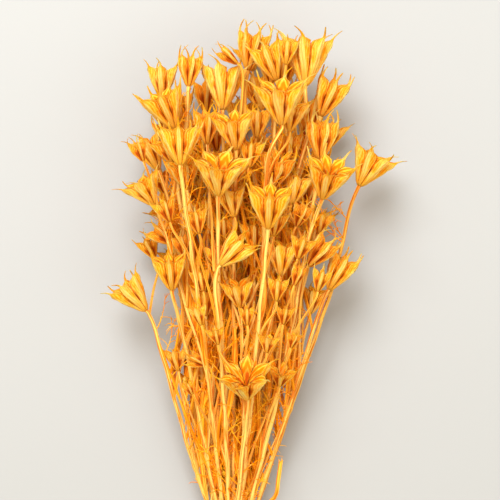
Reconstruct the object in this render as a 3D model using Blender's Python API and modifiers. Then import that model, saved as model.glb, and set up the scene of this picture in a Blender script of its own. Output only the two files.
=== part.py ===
"""Bunch of dried nigella seed heads, tied with twine and lying on its side.

Each cut stem is one grown piece: a thin stalk, its side branches and the
seed heads at their ends. A seed head is a ring of pods that are fused in
their lower part and end in free, beaked tips.

The bunch lies along Y, cut ends at -Y and heads at +Y, and rests on z = 0.
Lengths are written in millimetres and leave the script in metres.
"""
import math
from collections import namedtuple

import bmesh
import bpy
import numpy as np
from mathutils import Matrix, Vector

MM = 0.001
# The middle of the bunch's box, seen from above, which is put at the origin
MIDDLE_X = 3.0
MIDDLE_Y = 166.4

# Stalks
STEM_RADIUS = 1.7
BRANCH_RADIUS = 1.3
FORK_SHARE = 0.55           # a branch leaves its stem this far up its own height
STALK_INTO_HEAD = 3.0
CUT_END_Y = -74.0
CUT_END_STEP = 2.4          # the cut ends are uneven by this step
STEM_TURN = 2.4             # steps of a sine that differs from stem to stem
CUT_END_SPLAY = 1.08
BEND_TOLERANCE = 0.22       # straight runs this close to the stalk's curve

# Seed head, as shares of its length: the fused cup, then each free pod
CUP_FOOT = 0.045
CUP_WAIST_HEIGHT = 0.165
CUP_WAIST = (0.130, 0.065)  # radius when shut, and what full openness adds
CUP_WAIST_GROOVE = 0.72     # radius between two pods over radius at their backs
CUP_RIM_HEIGHT = 0.315
CUP_RIM = (0.190, 0.110)
CUP_RIM_GROOVE = 0.55
CUP_FLOOR_HEIGHT = 0.28
# A free pod is a wedge: a broad back and a thin edge that faces the head's
# axis. Both are given when shut, with what full openness adds.
Section = namedtuple("Section", "height back back_open edge edge_open half_width")
WIDEST = Section(0.52, 0.242, 0.185, 0.050, 0.100, 0.080)
SHOULDER = Section(0.66, 0.245, 0.270, 0.095, 0.210, 0.068)
BEAK_ROOT = Section(0.745, 0.232, 0.330, 0.190, 0.320, 0.022)
BEAK_TIP = (0.22, 0.43)
POD_CROWDING = 0.80         # width of a pod over the width it has room for
POD_ROLL = 0.25             # most that a head is turned about its axis
# How much the pods of one head differ
SIZE_UNEVENNESS = 0.05
OPENNESS_UNEVENNESS = 0.12
BEAK_UNEVENNESS = 0.06
BEAK_SWAY = 0.04

# Tie, a few turns of twine round the stalks
TIE_Y = -45.0
TWINE_RADIUS = 1.3
TWINE_TURNS = 4
TIE_SIDES = 28
TIE_GAP = 0.5
TIE_PACKING = 0.60          # share of the tie's opening that the stalks fill

# Room between two stalks or heads, and how far the feet are cut flat
TIED_CLEARANCE = 0.5
LOOSE_FROM = 60.0           # stalks are further apart than that from this far up
CLEARANCE = 1.1
FOOT_CUT = 0.5

# Rule that moves crowded stalks and heads apart
SLICE = 10.0
MOVES = 460
FINAL_MOVES = 160
TIE_CENTRE_X = -15.0
TIE_SPREAD = 7.0            # the stalks start this far apart in the tie
CROWN_HALF_WIDTH = 100.0
CROWN_HEIGHT = 60.0
CROWN_HALF_HEIGHT = 55.0
SPRAY_POWER = 0.9           # how evenly the stalks fan out
STAGGER = 0.5
STAGGER_TURN = 0.3
LOWEST_FORK = 2
FORK_FREE = 2               # slices past a fork where its stalks still touch
NECK = 8.0                  # straight end of a stalk under its head
GROUND_GAP = 1.0
# Share of an overlap that one move takes away
HEAD_LIFT = 0.35
HEAD_SLIDE = 0.12
LEAST_LIFT = 0.35
STALK_DODGE = 0.6
HEAD_RECOIL = 0.12
STALK_SPREAD = 0.4
EASE = 0.25
FINAL_EASE = 0.05
RETURN_ACROSS = 0.06
RETURN_DOWN = 0.004
BALL_PLACES = np.array([0.10, 0.36, 0.62, 0.90])
BALL_RADII = ((0.12, 0.02), (0.20, 0.13), (0.25, 0.22), (0.22, 0.40))

# One row a head: its stem, x, y and z of its foot, lean to the right and rise
# from the ground in degrees, length, openness and number of pods. The first
# row of a stem is its main head, and the others sit on branches.
Head = namedtuple("Head", "stem x y z lean rise length open pods")
HEADS = [
    Head(1, -88, 161, 60, -40, 5, 39, 0.35, 6),
    Head(1, -61, 109, 46, -8, 8, 25, 0.50, 4),
    Head(1, -57, 89, 42, 12, 10, 22, 0.40, 4),
    Head(2, -65, 179, 80, -5, 15, 38, 0.60, 6),
    Head(2, -37, 115, 66, -66, 5, 22, 0.45, 4),
    Head(3, -78, 281, 50, -23, 0, 38, 0.30, 5),
    Head(3, -63, 243, 45, -62, 10, 28, 0.70, 6),
    Head(3, -66, 218, 58, -52, 10, 30, 0.60, 5),
    Head(4, -74, 340, 60, 2, 0, 36, 0.30, 5),
    Head(4, -58, 322, 44, -4, 0, 32, 0.45, 5),
    Head(5, -63, 314, 82, -22, 12, 42, 0.65, 7),
    Head(6, -56, 281, 112, -2, 0, 40, 0.75, 7),
    Head(6, -80, 250, 78, -30, 8, 32, 0.70, 6),
    Head(7, -52, 263, 75, -10, 20, 36, 0.90, 6),
    Head(7, -35, 301, 62, -1, 15, 38, 0.42, 6),
    Head(8, -50, 349, 65, 4, 0, 36, 0.40, 6),
    Head(8, -37, 157, 60, 0, 15, 32, 0.50, 5),
    Head(9, -21, 330, 76, 2, -5, 46, 0.35, 6),
    Head(9, -40, 284, 34, -8, 3, 34, 0.50, 5),
    Head(10, -25, 257, 106, 5, 25, 40, 0.75, 6),
    Head(10, -36, 232, 56, -10, 10, 36, 0.75, 6),
    Head(11, -4, 365, 56, 12, 5, 44, 0.50, 7),
    Head(11, -10, 367, 74, -50, 5, 26, 0.10, 3),
    Head(12, 22, 354, 90, -20, 12, 40, 0.35, 6),
    Head(12, 10, 333, 42, -14, 0, 38, 0.40, 5),
    Head(13, 26, 315, 102, -2, 20, 44, 0.65, 6),
    Head(13, 6, 258, 62, -1, 10, 34, 0.60, 6),
    Head(14, 47, 350, 75, 2, 0, 50, 0.45, 7),
    Head(14, 52, 316, 40, 6, 0, 36, 0.50, 5),
    Head(15, 60, 326, 60, 22, 10, 44, 0.40, 6),
    Head(15, 29, 352, 40, 2, 0, 40, 0.40, 5),
    Head(16, 59, 288, 85, 3, 5, 44, 0.50, 6),
    Head(16, 31, 284, 68, 3, 10, 38, 0.40, 5),
    Head(16, 45, 222, 52, 14, 8, 34, 0.65, 6),
    Head(17, 15, 230, 112, 3, 20, 44, 0.60, 6),
    Head(17, 4, 212, 64, -2, 12, 33, 0.65, 6),
    Head(18, 19, 264, 85, 10, 25, 42, 0.70, 6),
    Head(18, 26, 191, 85, 4, 10, 36, 0.35, 5),
    Head(19, 60, 255, 95, 14, 30, 42, 0.70, 7),
    Head(19, 52, 246, 60, -58, 3, 21, 0.35, 4),
    Head(20, 93, 267, 60, 27, 5, 40, 0.60, 7),
    Head(20, 49, 199, 75, 38, 10, 40, 0.35, 5),
    Head(21, 67, 179, 70, 28, 5, 42, 0.30, 6),
    Head(21, 52, 158, 48, 14, 8, 28, 0.50, 5),
    Head(22, -2, 88, 85, -5, 35, 38, 0.90, 6),
    Head(22, -8, 164, 84, -6, 15, 30, 0.60, 5),
    Head(23, 30, 162, 64, 6, 12, 28, 0.45, 5),
    Head(23, 25, 97, 66, 10, 30, 24, 0.80, 4),
    Head(24, -24, 200, 104, 46, 10, 38, 0.20, 5),
    Head(24, -32, 184, 48, -6, 8, 31, 0.60, 5),
    Head(25, -12, 295, 98, -5, 20, 38, 0.60, 6),
    Head(26, -2, 289, 55, 38, 18, 36, 0.45, 5),
    Head(26, 5, 159, 60, 0, 10, 28, 0.30, 4),
    Head(27, -68, 298, 22, -15, -3, 38, 0.40, 5),
    Head(27, -49, 228, 24, -20, 0, 36, 0.40, 5),
    Head(28, -38, 332, 24, -5, 0, 38, 0.40, 5),
    Head(28, -28, 211, 22, -10, -3, 36, 0.40, 5),
    Head(29, -7, 313, 22, 3, 0, 38, 0.40, 5),
    Head(29, 0, 245, 24, 5, -3, 36, 0.40, 5),
    Head(30, 23, 330, 24, 6, 0, 38, 0.40, 5),
    Head(30, 24, 236, 22, 6, -3, 36, 0.40, 5),
    Head(31, 48, 304, 22, 12, 0, 38, 0.40, 5),
    Head(31, 53, 219, 24, 18, 0, 36, 0.40, 5),
    Head(32, -19, 272, 24, 0, 0, 36, 0.40, 5),
    Head(32, 8, 196, 36, 4, 0, 32, 0.40, 5),
]
STEM_COUNT = 32
# The two heads that the bunch lies on, one on each side of its weight
FOOT_HEADS = ((27, 1), (31, 1))
BACK_STEMS = range(27, 33)


def heading(head):
    """Unit vector from a head's foot to its top."""
    lean = math.radians(head.lean)
    rise = math.radians(head.rise)
    flat = math.cos(rise)
    return np.array([math.sin(lean) * flat, math.cos(lean) * flat, math.sin(rise)])


def unevenness(head, pod):
    """A small, fixed irregularity between -1 and 1 for one pod of one head."""
    return math.sin(12.9 * head.x + 7.3 * head.y + 37.7 * pod)


def pod_directions(head):
    """Direction away from the axis, and the one across it, for each pod.

    The first pod is on top, a little to one side.
    """
    axis = heading(head)
    up = np.array([0.0, 0.0, 1.0])
    front = up - axis * up.dot(axis)
    front /= np.linalg.norm(front)
    side = np.cross(front, axis)
    roll = POD_ROLL * unevenness(head, 9)
    for pod in range(head.pods):
        angle = roll + math.tau * pod / head.pods
        out = math.cos(angle) * front + math.sin(angle) * side
        across = math.cos(angle) * side - math.sin(angle) * front
        yield pod, out, across


def pod_size(head, pod):
    """Length and openness of one pod, a little off those of its head."""
    size = head.length * (1 + SIZE_UNEVENNESS * unevenness(head, pod))
    openness = head.open * (1 + OPENNESS_UNEVENNESS * unevenness(head, pod + 3))
    return size, openness


def pod_ring(head, foot, section, pod, out, across):
    """Three corners of a pod's section: its edge, and both sides of its back."""
    size, openness = pod_size(head, pod)
    back = size * (section.back + section.back_open * openness)
    edge = size * (section.edge + section.edge_open * openness)
    room = POD_CROWDING * back * math.tan(math.pi / head.pods)
    half_width = min(size * section.half_width, room)
    centre = foot + heading(head) * size * section.height
    return [
        centre + out * edge,
        centre + out * back - across * half_width,
        centre + out * back + across * half_width,
    ]


def beak_tip(head, foot, pod, out, across):
    size, openness = pod_size(head, pod)
    reach = size * (BEAK_TIP[0] + BEAK_TIP[1] * openness)
    height = size * (1 - BEAK_UNEVENNESS * (1 + unevenness(head, pod + 5)))
    sway = across * size * BEAK_SWAY * unevenness(head, pod + 6)
    return foot + heading(head) * height + out * reach + sway


def head_mesh(head, foot):
    """A closed loft: a fluted cup whose rim splits into free pods."""
    mesh = bmesh.new()
    axis = heading(head)
    pods = list(pod_directions(head))
    waist = CUP_WAIST[0] + CUP_WAIST[1] * head.open
    rim = CUP_RIM[0] + CUP_RIM[1] * head.open
    levels = [
        (0.0, CUP_FOOT, 1.0),
        (CUP_WAIST_HEIGHT, waist, CUP_WAIST_GROOVE),
        (CUP_RIM_HEIGHT, rim, CUP_RIM_GROOVE),
    ]
    half_step = math.pi / head.pods

    def vertex(point):
        return mesh.verts.new(Vector(point) * MM)

    rings = []
    for level_height, level_radius, groove in levels:
        height = head.length * level_height
        radius = head.length * level_radius
        ring = []
        for pod, out, across in pods:
            valley = math.cos(half_step) * out + math.sin(half_step) * across
            ring.append(vertex(foot + axis * height + out * radius))
            ring.append(vertex(foot + axis * height + valley * radius * groove))
        rings.append(ring)
    mesh.faces.new(rings[0])
    for low, high in zip(rings, rings[1:]):
        join_rings(mesh, low, high)

    floor = vertex(foot + axis * head.length * CUP_FLOOR_HEIGHT)
    sections = [WIDEST, SHOULDER, BEAK_ROOT]
    if head.stem in BACK_STEMS:
        sections = [WIDEST, BEAK_ROOT]
    for pod, out, across in pods:
        back = rings[-1][2 * pod]
        left = rings[-1][2 * pod - 1]
        right = rings[-1][2 * pod + 1]
        low = [vertex(point) for point in pod_ring(head, foot, sections[0], pod, out, across)]
        edge, back_left, back_right = low
        mesh.faces.new([floor, left, back_left, edge])
        mesh.faces.new([left, back, back_left])
        mesh.faces.new([back, back_right, back_left])
        mesh.faces.new([back, right, back_right])
        mesh.faces.new([right, floor, edge, back_right])
        for section in sections[1:]:
            points = pod_ring(head, foot, section, pod, out, across)
            high = [vertex(point) for point in points]
            join_rings(mesh, low, high)
            low = high
        tip = vertex(beak_tip(head, foot, pod, out, across))
        for index in range(3):
            mesh.faces.new([low[index], low[(index + 1) % 3], tip])
    bmesh.ops.recalc_face_normals(mesh, faces=mesh.faces)
    return mesh


def join_rings(mesh, low, high):
    count = len(low)
    for index in range(count):
        after = (index + 1) % count
        mesh.faces.new([low[index], low[after], high[after], high[index]])


def lowest_of(head):
    """How far a head reaches below its own foot."""
    foot = np.zeros(3)
    lowest = 0.0
    for pod, out, across in pod_directions(head):
        for section in (WIDEST, SHOULDER, BEAK_ROOT):
            for point in pod_ring(head, foot, section, pod, out, across):
                lowest = min(lowest, point[2])
        lowest = min(lowest, beak_tip(head, foot, pod, out, across)[2])
    return lowest


def parents_of(heads):
    """Index of each head's main head, or -1 where it is one itself."""
    first = {}
    parents = []
    for index, head in enumerate(heads):
        parents.append(first.get(head.stem, -1))
        first.setdefault(head.stem, index)
    return np.array(parents)


def settle(heads):
    """Move crowded heads and stalks apart until each has its clearance.

    A stalk is a row of points, one in each slice across Y. A head is four
    balls along its axis. Both are pushed mainly up and down, so that the
    bunch keeps its look from above.
    """
    count = len(heads)
    feet = np.array([[head.x, head.y, head.z] for head in heads], float)
    axes = np.array([heading(head) for head in heads])
    lengths = np.array([head.length for head in heads], float)
    openness = np.array([head.open for head in heads])
    stems = np.array([head.stem for head in heads])
    reach = np.array([lowest_of(head) for head in heads])
    parents = parents_of(heads)
    mains = parents < 0
    fixed = np.zeros(count, bool)
    order = np.array([(stems[:i] == stems[i]).sum() for i in range(count)])
    for stem, place in FOOT_HEADS:
        fixed |= (stems == stem) & (order == place)
    feet[fixed, 2] = -reach[fixed] - FOOT_CUT
    wanted = feet.copy()

    ball_radii = np.stack([shut + more * openness for shut, more in BALL_RADII], axis=1)
    ball_radii *= lengths[:, None]
    owner = np.repeat(np.arange(count), len(BALL_PLACES))

    slices = int((feet[:, 1].max() - TIE_Y) / SLICE) + 2
    y = TIE_Y + SLICE * np.arange(slices)
    last = np.floor((feet[:, 1] - TIE_Y) / SLICE - 1).astype(int)
    first = np.where(mains, 0, np.maximum(LOWEST_FORK, FORK_SHARE * last)).astype(int)
    steps = np.arange(slices)[None, :]
    live = (steps >= first[:, None]) & (steps <= last[:, None])
    inner = (steps > first[:, None]) & (steps <= last[:, None])
    radii = np.where(mains, STEM_RADIUS, BRANCH_RADIUS)
    looseness = np.clip((y - TIE_Y) / LOOSE_FROM, 0, 1)
    room = TIED_CLEARANCE + (CLEARANCE - TIED_CLEARANCE) * looseness

    tie_z = tie_height()
    tie_limit = tie_inner_radius() - TIE_GAP - STEM_RADIUS
    start_x = TIE_CENTRE_X + TIE_SPREAD * (feet[:, 0] - TIE_CENTRE_X) / CROWN_HALF_WIDTH
    start_z = tie_z + TIE_SPREAD * (feet[:, 2] - CROWN_HEIGHT) / CROWN_HALF_HEIGHT
    share = np.clip((y[None] - TIE_Y) / (feet[:, 1:2] - TIE_Y), 0, 1) ** SPRAY_POWER
    x = start_x[:, None] + (feet[:, 0] - start_x)[:, None] * share
    z = start_z[:, None] + (feet[:, 2] - start_z)[:, None] * share
    for index in np.flatnonzero(~mains):
        run = max(1, last[index] - first[index])
        share = np.clip((steps[0] - first[index]) / run, 0, 1)
        x[index] = x[parents[index]] * (1 - share) + feet[index, 0] * share
        z[index] = z[parents[index]] * (1 - share) + feet[index, 2] * share
    z += STAGGER * np.sin(STEM_TURN * np.arange(count)[:, None] + STAGGER_TURN * steps)

    free_pair = stems[:, None] != stems[None, :]
    later_fork = np.maximum(first[:, None], first[None, :])
    past_fork = steps[None] >= later_fork[:, :, None] + FORK_FREE
    pair = live[:, None] & live[None] & (free_pair[:, :, None] | past_fork)
    pair &= ~np.eye(count, dtype=bool)[:, :, None]
    not_own = owner[None, :] != np.arange(count)[:, None]

    for move in range(MOVES):
        balls = feet[:, None] + axes[:, None] * (BALL_PLACES * lengths[:, None])[:, :, None]
        flat_balls = balls.reshape(-1, 3)
        flat_radii = ball_radii.reshape(-1)

        # Heads against heads
        apart = flat_balls[:, None] - flat_balls[None]
        distance = np.linalg.norm(apart, axis=2) + 1e-6
        push = flat_radii[:, None] + flat_radii[None] + CLEARANCE - distance
        push[owner[:, None] == owner[None]] = 0
        push = np.clip(push, 0, None)
        unit = apart / distance[..., None]
        upward = np.where(unit[..., 2] >= 0, 1.0, -1.0) * np.maximum(np.abs(unit[..., 2]), LEAST_LIFT)
        lift = (push * upward).reshape(count, -1)
        slide = (push * unit[..., 0]).reshape(count, -1)
        feet[:, 2] += HEAD_LIFT * (lift.max(axis=1) + lift.min(axis=1)) * ~fixed
        feet[:, 0] += HEAD_SLIDE * (slide.max(axis=1) + slide.min(axis=1)) * ~fixed

        # Stalks against heads
        disc = flat_radii[:, None] ** 2 - (y[None] - flat_balls[:, 1:2]) ** 2
        cross = np.sqrt(np.clip(disc, 0, None))
        dx = x[:, None] - flat_balls[None, :, 0:1]
        dz = z[:, None] - flat_balls[None, :, 2:3]
        distance = np.hypot(dx, dz) + 1e-6
        push = cross[None] + radii[:, None, None] + CLEARANCE - distance
        meets = (disc > 0)[None] & live[:, None] & not_own[:, :, None]
        push = np.where(meets, np.clip(push, 0, None), 0)
        push_x = push * dx / distance
        push_z = push * dz / distance
        x += STALK_DODGE * (push_x.max(axis=1) + push_x.min(axis=1))
        z += STALK_DODGE * (push_z.max(axis=1) + push_z.min(axis=1))
        recoil = push_z.max(axis=(0, 2)) + push_z.min(axis=(0, 2))
        recoil = recoil.reshape(count, -1)
        feet[:, 2] -= HEAD_RECOIL * (recoil.max(axis=1) + recoil.min(axis=1)) * ~fixed

        # Stalks against stalks
        dx = x[:, None] - x[None]
        dz = z[:, None] - z[None]
        distance = np.hypot(dx, dz) + 1e-6
        push = radii[:, None, None] + radii[None, :, None] + room - distance
        push = np.where(pair, np.clip(push, 0, None), 0)
        x += STALK_SPREAD * (push * dx / distance).sum(axis=1)
        z += STALK_SPREAD * (push * dz / distance).sum(axis=1)

        # The tie holds the stalks in, and each stalk is kept smooth
        for step, limit in ((0, tie_limit), (1, tie_limit + TIE_GAP)):
            off_x = x[mains, step] - TIE_CENTRE_X
            off_z = z[mains, step] - tie_z
            shrink = np.minimum(1, limit / (np.hypot(off_x, off_z) + 1e-6))
            x[mains, step] = TIE_CENTRE_X + off_x * shrink
            z[mains, step] = tie_z + off_z * shrink
        rows = np.arange(count)
        tail = feet - axes * NECK
        x[rows, last + 1] = tail[:, 0]
        z[rows, last + 1] = tail[:, 2]
        sides = rows[~mains]
        x[sides, first[sides]] = x[parents[sides], first[sides]]
        z[sides, first[sides]] = z[parents[sides], first[sides]]
        ease = FINAL_EASE if move >= MOVES - FINAL_MOVES else EASE
        x[mains, 0] += ease * (x[mains, 1] - x[mains, 0])
        z[mains, 0] += ease * (z[mains, 1] - z[mains, 0])
        x += ease * inner * (0.5 * (np.roll(x, 1, 1) + np.roll(x, -1, 1)) - x)
        z += ease * inner * (0.5 * (np.roll(z, 1, 1) + np.roll(z, -1, 1)) - z)

        # Heads drift back to their places, and nothing goes below the ground
        feet[:, 0] += RETURN_ACROSS * (wanted[:, 0] - feet[:, 0])
        feet[:, 2] += RETURN_DOWN * (wanted[:, 2] - feet[:, 2])
        feet[:, 2] = np.where(fixed, feet[:, 2], np.maximum(feet[:, 2], GROUND_GAP - reach))
        z = np.where(live, np.maximum(z, radii[:, None] + GROUND_GAP), z)

    routes = []
    for index in range(count):
        low, high = first[index], last[index]
        points = np.stack([x[index], y, z[index]], axis=1)[low:high + 1]
        foot = feet[index]
        ends = [foot - axes[index] * NECK, foot + axes[index] * STALK_INTO_HEAD]
        points = np.vstack([points, *ends])
        if mains[index]:
            points = np.vstack([cut_end(points[0], heads[index].stem, tie_z), points])
        routes.append(points)
    return feet, routes


def tie_height():
    """Height of the tie's centre, so that the tie lies on the ground."""
    return tie_inner_radius() + 2 * TWINE_RADIUS - FOOT_CUT


def tie_inner_radius():
    """Radius of a round bundle of all the stems with their clearance."""
    cell = STEM_RADIUS + TIED_CLEARANCE / 2
    return cell * math.sqrt(STEM_COUNT / TIE_PACKING) + TIE_GAP


def cut_end(at_tie, stem, tie_z):
    """The end of a stem beyond the tie, where the bundle opens a little."""
    centre = np.array([TIE_CENTRE_X, TIE_Y, tie_z])
    end = centre + (at_tie - centre) * CUT_END_SPLAY
    end[1] = CUT_END_Y + CUT_END_STEP * math.sin(STEM_TURN * stem)
    return end


def rounded(points, parts=3):
    """Points on a smooth curve through the given ones."""
    padded = np.vstack([2 * points[0] - points[1], points, 2 * points[-1] - points[-2]])
    curve = []
    for a, b, c, d in zip(padded, padded[1:], padded[2:], padded[3:]):
        for part in range(parts):
            t = part / parts
            curve.append(0.5 * (2 * b + (c - a) * t + (2 * a - 5 * b + 4 * c - d) * t ** 2
                                + (3 * b - a - 3 * c + d) * t ** 3))
    curve.append(points[-1])
    return np.array(curve)


def straightened(points):
    """Fewer points, none of those left out further off than the tolerance."""
    kept = [0]
    end = 2
    while end < len(points):
        start = points[kept[-1]]
        chord = points[end] - start
        chord = chord / np.linalg.norm(chord)
        offsets = points[kept[-1] + 1:end] - start
        across = offsets - np.outer(offsets @ chord, chord)
        if np.linalg.norm(across, axis=1).max() > BEND_TOLERANCE:
            kept.append(end - 1)
        end += 1
    kept.append(len(points) - 1)
    return points[kept]


def tube(name, points, radius):
    """A curve with a round bevel, made a closed mesh object."""
    curve = bpy.data.curves.new(name, "CURVE")
    curve.dimensions = "3D"
    curve.bevel_depth = radius * MM
    curve.bevel_resolution = 0
    curve.use_fill_caps = True
    spline = curve.splines.new("POLY")
    spline.points.add(len(points) - 1)
    for spot, point in zip(spline.points, points):
        spot.co = (*(Vector(point) * MM), 1)
    guide = bpy.data.objects.new(name, curve)
    bpy.context.scene.collection.objects.link(guide)
    evaluated = guide.evaluated_get(bpy.context.evaluated_depsgraph_get())
    mesh = bpy.data.meshes.new_from_object(evaluated)
    bpy.data.objects.remove(guide)
    shape = bmesh.new()
    shape.from_mesh(mesh)
    bmesh.ops.remove_doubles(shape, verts=shape.verts, dist=0.00001)
    bmesh.ops.recalc_face_normals(shape, faces=shape.faces)
    shape.to_mesh(mesh)
    shape.free()
    return bpy.data.objects.new(name, mesh)


def joined(base, others, operation="UNION"):
    """The base object after one Boolean with all the others."""
    scene = bpy.context.scene
    group = bpy.data.collections.new(base.name + "_pieces")
    scene.collection.children.link(group)
    scene.collection.objects.link(base)
    for other in others:
        group.objects.link(other)
    modifier = base.modifiers.new("join", "BOOLEAN")
    modifier.operation = operation
    modifier.solver = "MANIFOLD"
    modifier.operand_type = "COLLECTION"
    modifier.collection = group
    evaluated = base.evaluated_get(bpy.context.evaluated_depsgraph_get())
    mesh = bpy.data.meshes.new_from_object(evaluated)
    base.modifiers.remove(modifier)
    base.data = mesh
    scene.collection.objects.unlink(base)
    for other in list(others):
        bpy.data.objects.remove(other)
    bpy.data.collections.remove(group)
    return base


def put_aside(made):
    """A new object, taken out of the collection it was made in."""
    for group in list(made.users_collection):
        group.objects.unlink(made)
    return made


def ground_cutter():
    """A block whose top is the ground, for the flat spots."""
    bpy.ops.mesh.primitive_cube_add(size=1, location=(0, 0, -0.5))
    block = bpy.context.object
    block.scale = (2, 2, 1)
    bpy.ops.object.transform_apply(location=True, rotation=False, scale=True)
    return put_aside(block)


def stem_piece(stem, heads, feet, routes):
    """One cut stem: its stalk, its branches and its seed heads."""
    name = f"stem_{stem:02d}"
    pieces = []
    for head, foot, route in zip(heads, feet, routes):
        if head.stem != stem:
            continue
        main = not pieces
        points = straightened(rounded(route))
        radius = STEM_RADIUS if main else BRANCH_RADIUS
        pieces.append(tube(name, points, radius))
        mesh = bpy.data.meshes.new(name)
        shape = head_mesh(head, foot)
        shape.to_mesh(mesh)
        shape.free()
        pieces.append(bpy.data.objects.new(name + "_head", mesh))
    return joined(pieces[0], pieces[1:])


def tie_piece():
    """Turns of twine side by side: a ridged band, turned round the stalks."""
    inner = tie_inner_radius()
    half_width = TWINE_TURNS * TWINE_RADIUS
    outline = [(inner, -half_width), (inner, half_width)]
    for turn in reversed(range(TWINE_TURNS)):
        middle = TWINE_RADIUS * (2 * turn + 1) - half_width
        for angle in (45, 90, 135):
            out = TWINE_RADIUS * (1 + math.sin(math.radians(angle)))
            along = TWINE_RADIUS * math.cos(math.radians(angle))
            outline.append((inner + out, middle + along))
    mesh = bpy.data.meshes.new("tie")
    edges = [(index, (index + 1) % len(outline)) for index in range(len(outline))]
    mesh.from_pydata([(radius * MM, along * MM, 0) for radius, along in outline], edges, [])
    tie = bpy.data.objects.new("tie", mesh)
    bpy.context.scene.collection.objects.link(tie)
    turned = tie.modifiers.new("turn", "SCREW")
    turned.axis = "Y"
    turned.steps = TIE_SIDES
    turned.render_steps = TIE_SIDES
    turned.use_merge_vertices = True
    turned.merge_threshold = 0.00001
    evaluated = tie.evaluated_get(bpy.context.evaluated_depsgraph_get())
    shape = bmesh.new()
    shape.from_mesh(evaluated.to_mesh())
    bmesh.ops.rotate(shape, verts=shape.verts, matrix=Matrix.Rotation(math.pi / TIE_SIDES, 3, "Y"))
    bmesh.ops.translate(shape, verts=shape.verts, vec=Vector((TIE_CENTRE_X, TIE_Y, tie_height())) * MM)
    bmesh.ops.recalc_face_normals(shape, faces=shape.faces)
    bpy.data.objects.remove(tie)
    turned_mesh = bpy.data.meshes.new("tie")
    shape.to_mesh(turned_mesh)
    shape.free()
    return bpy.data.objects.new("tie", turned_mesh)


def material(name, colour, roughness):
    made = bpy.data.materials.new(name)
    made.use_nodes = True
    shader = made.node_tree.nodes["Principled BSDF"]
    shader.inputs["Base Color"].default_value = (*colour, 1)
    shader.inputs["Roughness"].default_value = roughness
    return made


def main():
    for old in list(bpy.data.objects):
        bpy.data.objects.remove(old)
    bunch = bpy.data.collections.new("nigella_bunch")
    bpy.context.scene.collection.children.link(bunch)
    orange = material("dyed_seed_heads", (0.90, 0.42, 0.03), 0.75)
    jute = material("twine", (0.55, 0.40, 0.22), 0.90)

    feet, routes = settle(HEADS)
    resting = {stem for stem, _ in FOOT_HEADS}
    pieces = []
    for stem in range(1, STEM_COUNT + 1):
        piece = stem_piece(stem, HEADS, feet, routes)
        if stem in resting:
            piece = joined(piece, [ground_cutter()], "DIFFERENCE")
        piece.data.materials.clear()
        piece.data.materials.append(orange)
        pieces.append(piece)
    tie = joined(tie_piece(), [ground_cutter()], "DIFFERENCE")
    tie.data.materials.clear()
    tie.data.materials.append(jute)
    pieces.append(tie)
    for piece in pieces:
        piece.data.transform(Matrix.Translation(Vector((-MIDDLE_X, -MIDDLE_Y, 0)) * MM))
        bunch.objects.link(piece)


main()
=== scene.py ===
"""Tied bunch of dried, orange-dyed nigella seed pods, lying on a pale floor.

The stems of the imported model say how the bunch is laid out. This script
repeats the rule that placed them, and grows the finished stalks, seed heads,
dry thread leaves and twine in the same places. The layout is written in
millimetres, and the meshes in metres.
"""
import functools
import math
import random
from collections import namedtuple

import bpy
import numpy as np
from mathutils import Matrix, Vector


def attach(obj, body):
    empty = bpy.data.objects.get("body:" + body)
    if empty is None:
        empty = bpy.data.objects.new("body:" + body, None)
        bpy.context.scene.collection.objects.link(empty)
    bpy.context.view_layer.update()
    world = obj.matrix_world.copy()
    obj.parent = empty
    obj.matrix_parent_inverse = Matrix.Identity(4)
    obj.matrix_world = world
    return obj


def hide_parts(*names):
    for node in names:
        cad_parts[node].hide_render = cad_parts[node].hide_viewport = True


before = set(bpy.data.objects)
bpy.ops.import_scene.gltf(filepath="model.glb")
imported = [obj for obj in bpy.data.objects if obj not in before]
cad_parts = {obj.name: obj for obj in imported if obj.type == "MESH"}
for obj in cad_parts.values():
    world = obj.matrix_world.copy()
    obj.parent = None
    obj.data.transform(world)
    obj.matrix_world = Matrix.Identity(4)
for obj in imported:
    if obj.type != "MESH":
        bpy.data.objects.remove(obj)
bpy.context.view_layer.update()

bl_info = {
    "name": "Dried Nigella Bunch",
    "version": (1, 0, 0),
    "blender": (4, 5, 0),
    "location": "3D View > Sidebar > Nigella",
    "description": "Grows a tied bunch of dried nigella seed heads on its frame",
    "category": "Add Mesh",
}

MM = 0.001
# The middle of the bunch's box, seen from above, which is put at the origin
MIDDLE_X = 3.0
MIDDLE_Y = 166.4

# Stalks
STEM_RADIUS = 1.7
BRANCH_RADIUS = 1.3
FORK_SHARE = 0.55           # a branch leaves its stem this far up its own height
STALK_INTO_HEAD = 3.0
CUT_END_Y = -74.0
CUT_END_STEP = 2.4          # the cut ends are uneven by this step
STEM_TURN = 2.4             # steps of a sine that differs from stem to stem
CUT_END_SPLAY = 1.08

# Seed head, as shares of its length: the fused cup, then each free pod
CUP_FOOT = 0.045
CUP_WAIST_HEIGHT = 0.165
CUP_WAIST = (0.130, 0.065)  # radius when shut, and what full openness adds
CUP_RIM_HEIGHT = 0.315
CUP_RIM = (0.190, 0.110)
# A free pod is a wedge: a broad back and a thin edge that faces the head's
# axis. Both are given when shut, with what full openness adds.
Section = namedtuple("Section", "height back back_open edge edge_open half_width")
WIDEST = Section(0.52, 0.242, 0.185, 0.050, 0.100, 0.080)
SHOULDER = Section(0.66, 0.245, 0.270, 0.095, 0.210, 0.068)
BEAK_ROOT = Section(0.745, 0.232, 0.330, 0.190, 0.320, 0.022)
BEAK_TIP = (0.22, 0.43)
POD_CROWDING = 0.80         # width of a pod over the width it has room for
POD_ROLL = 0.25             # most that a head is turned about its axis
# How much the pods of one head differ
SIZE_UNEVENNESS = 0.05
OPENNESS_UNEVENNESS = 0.12
BEAK_UNEVENNESS = 0.06
BEAK_SWAY = 0.04

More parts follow.
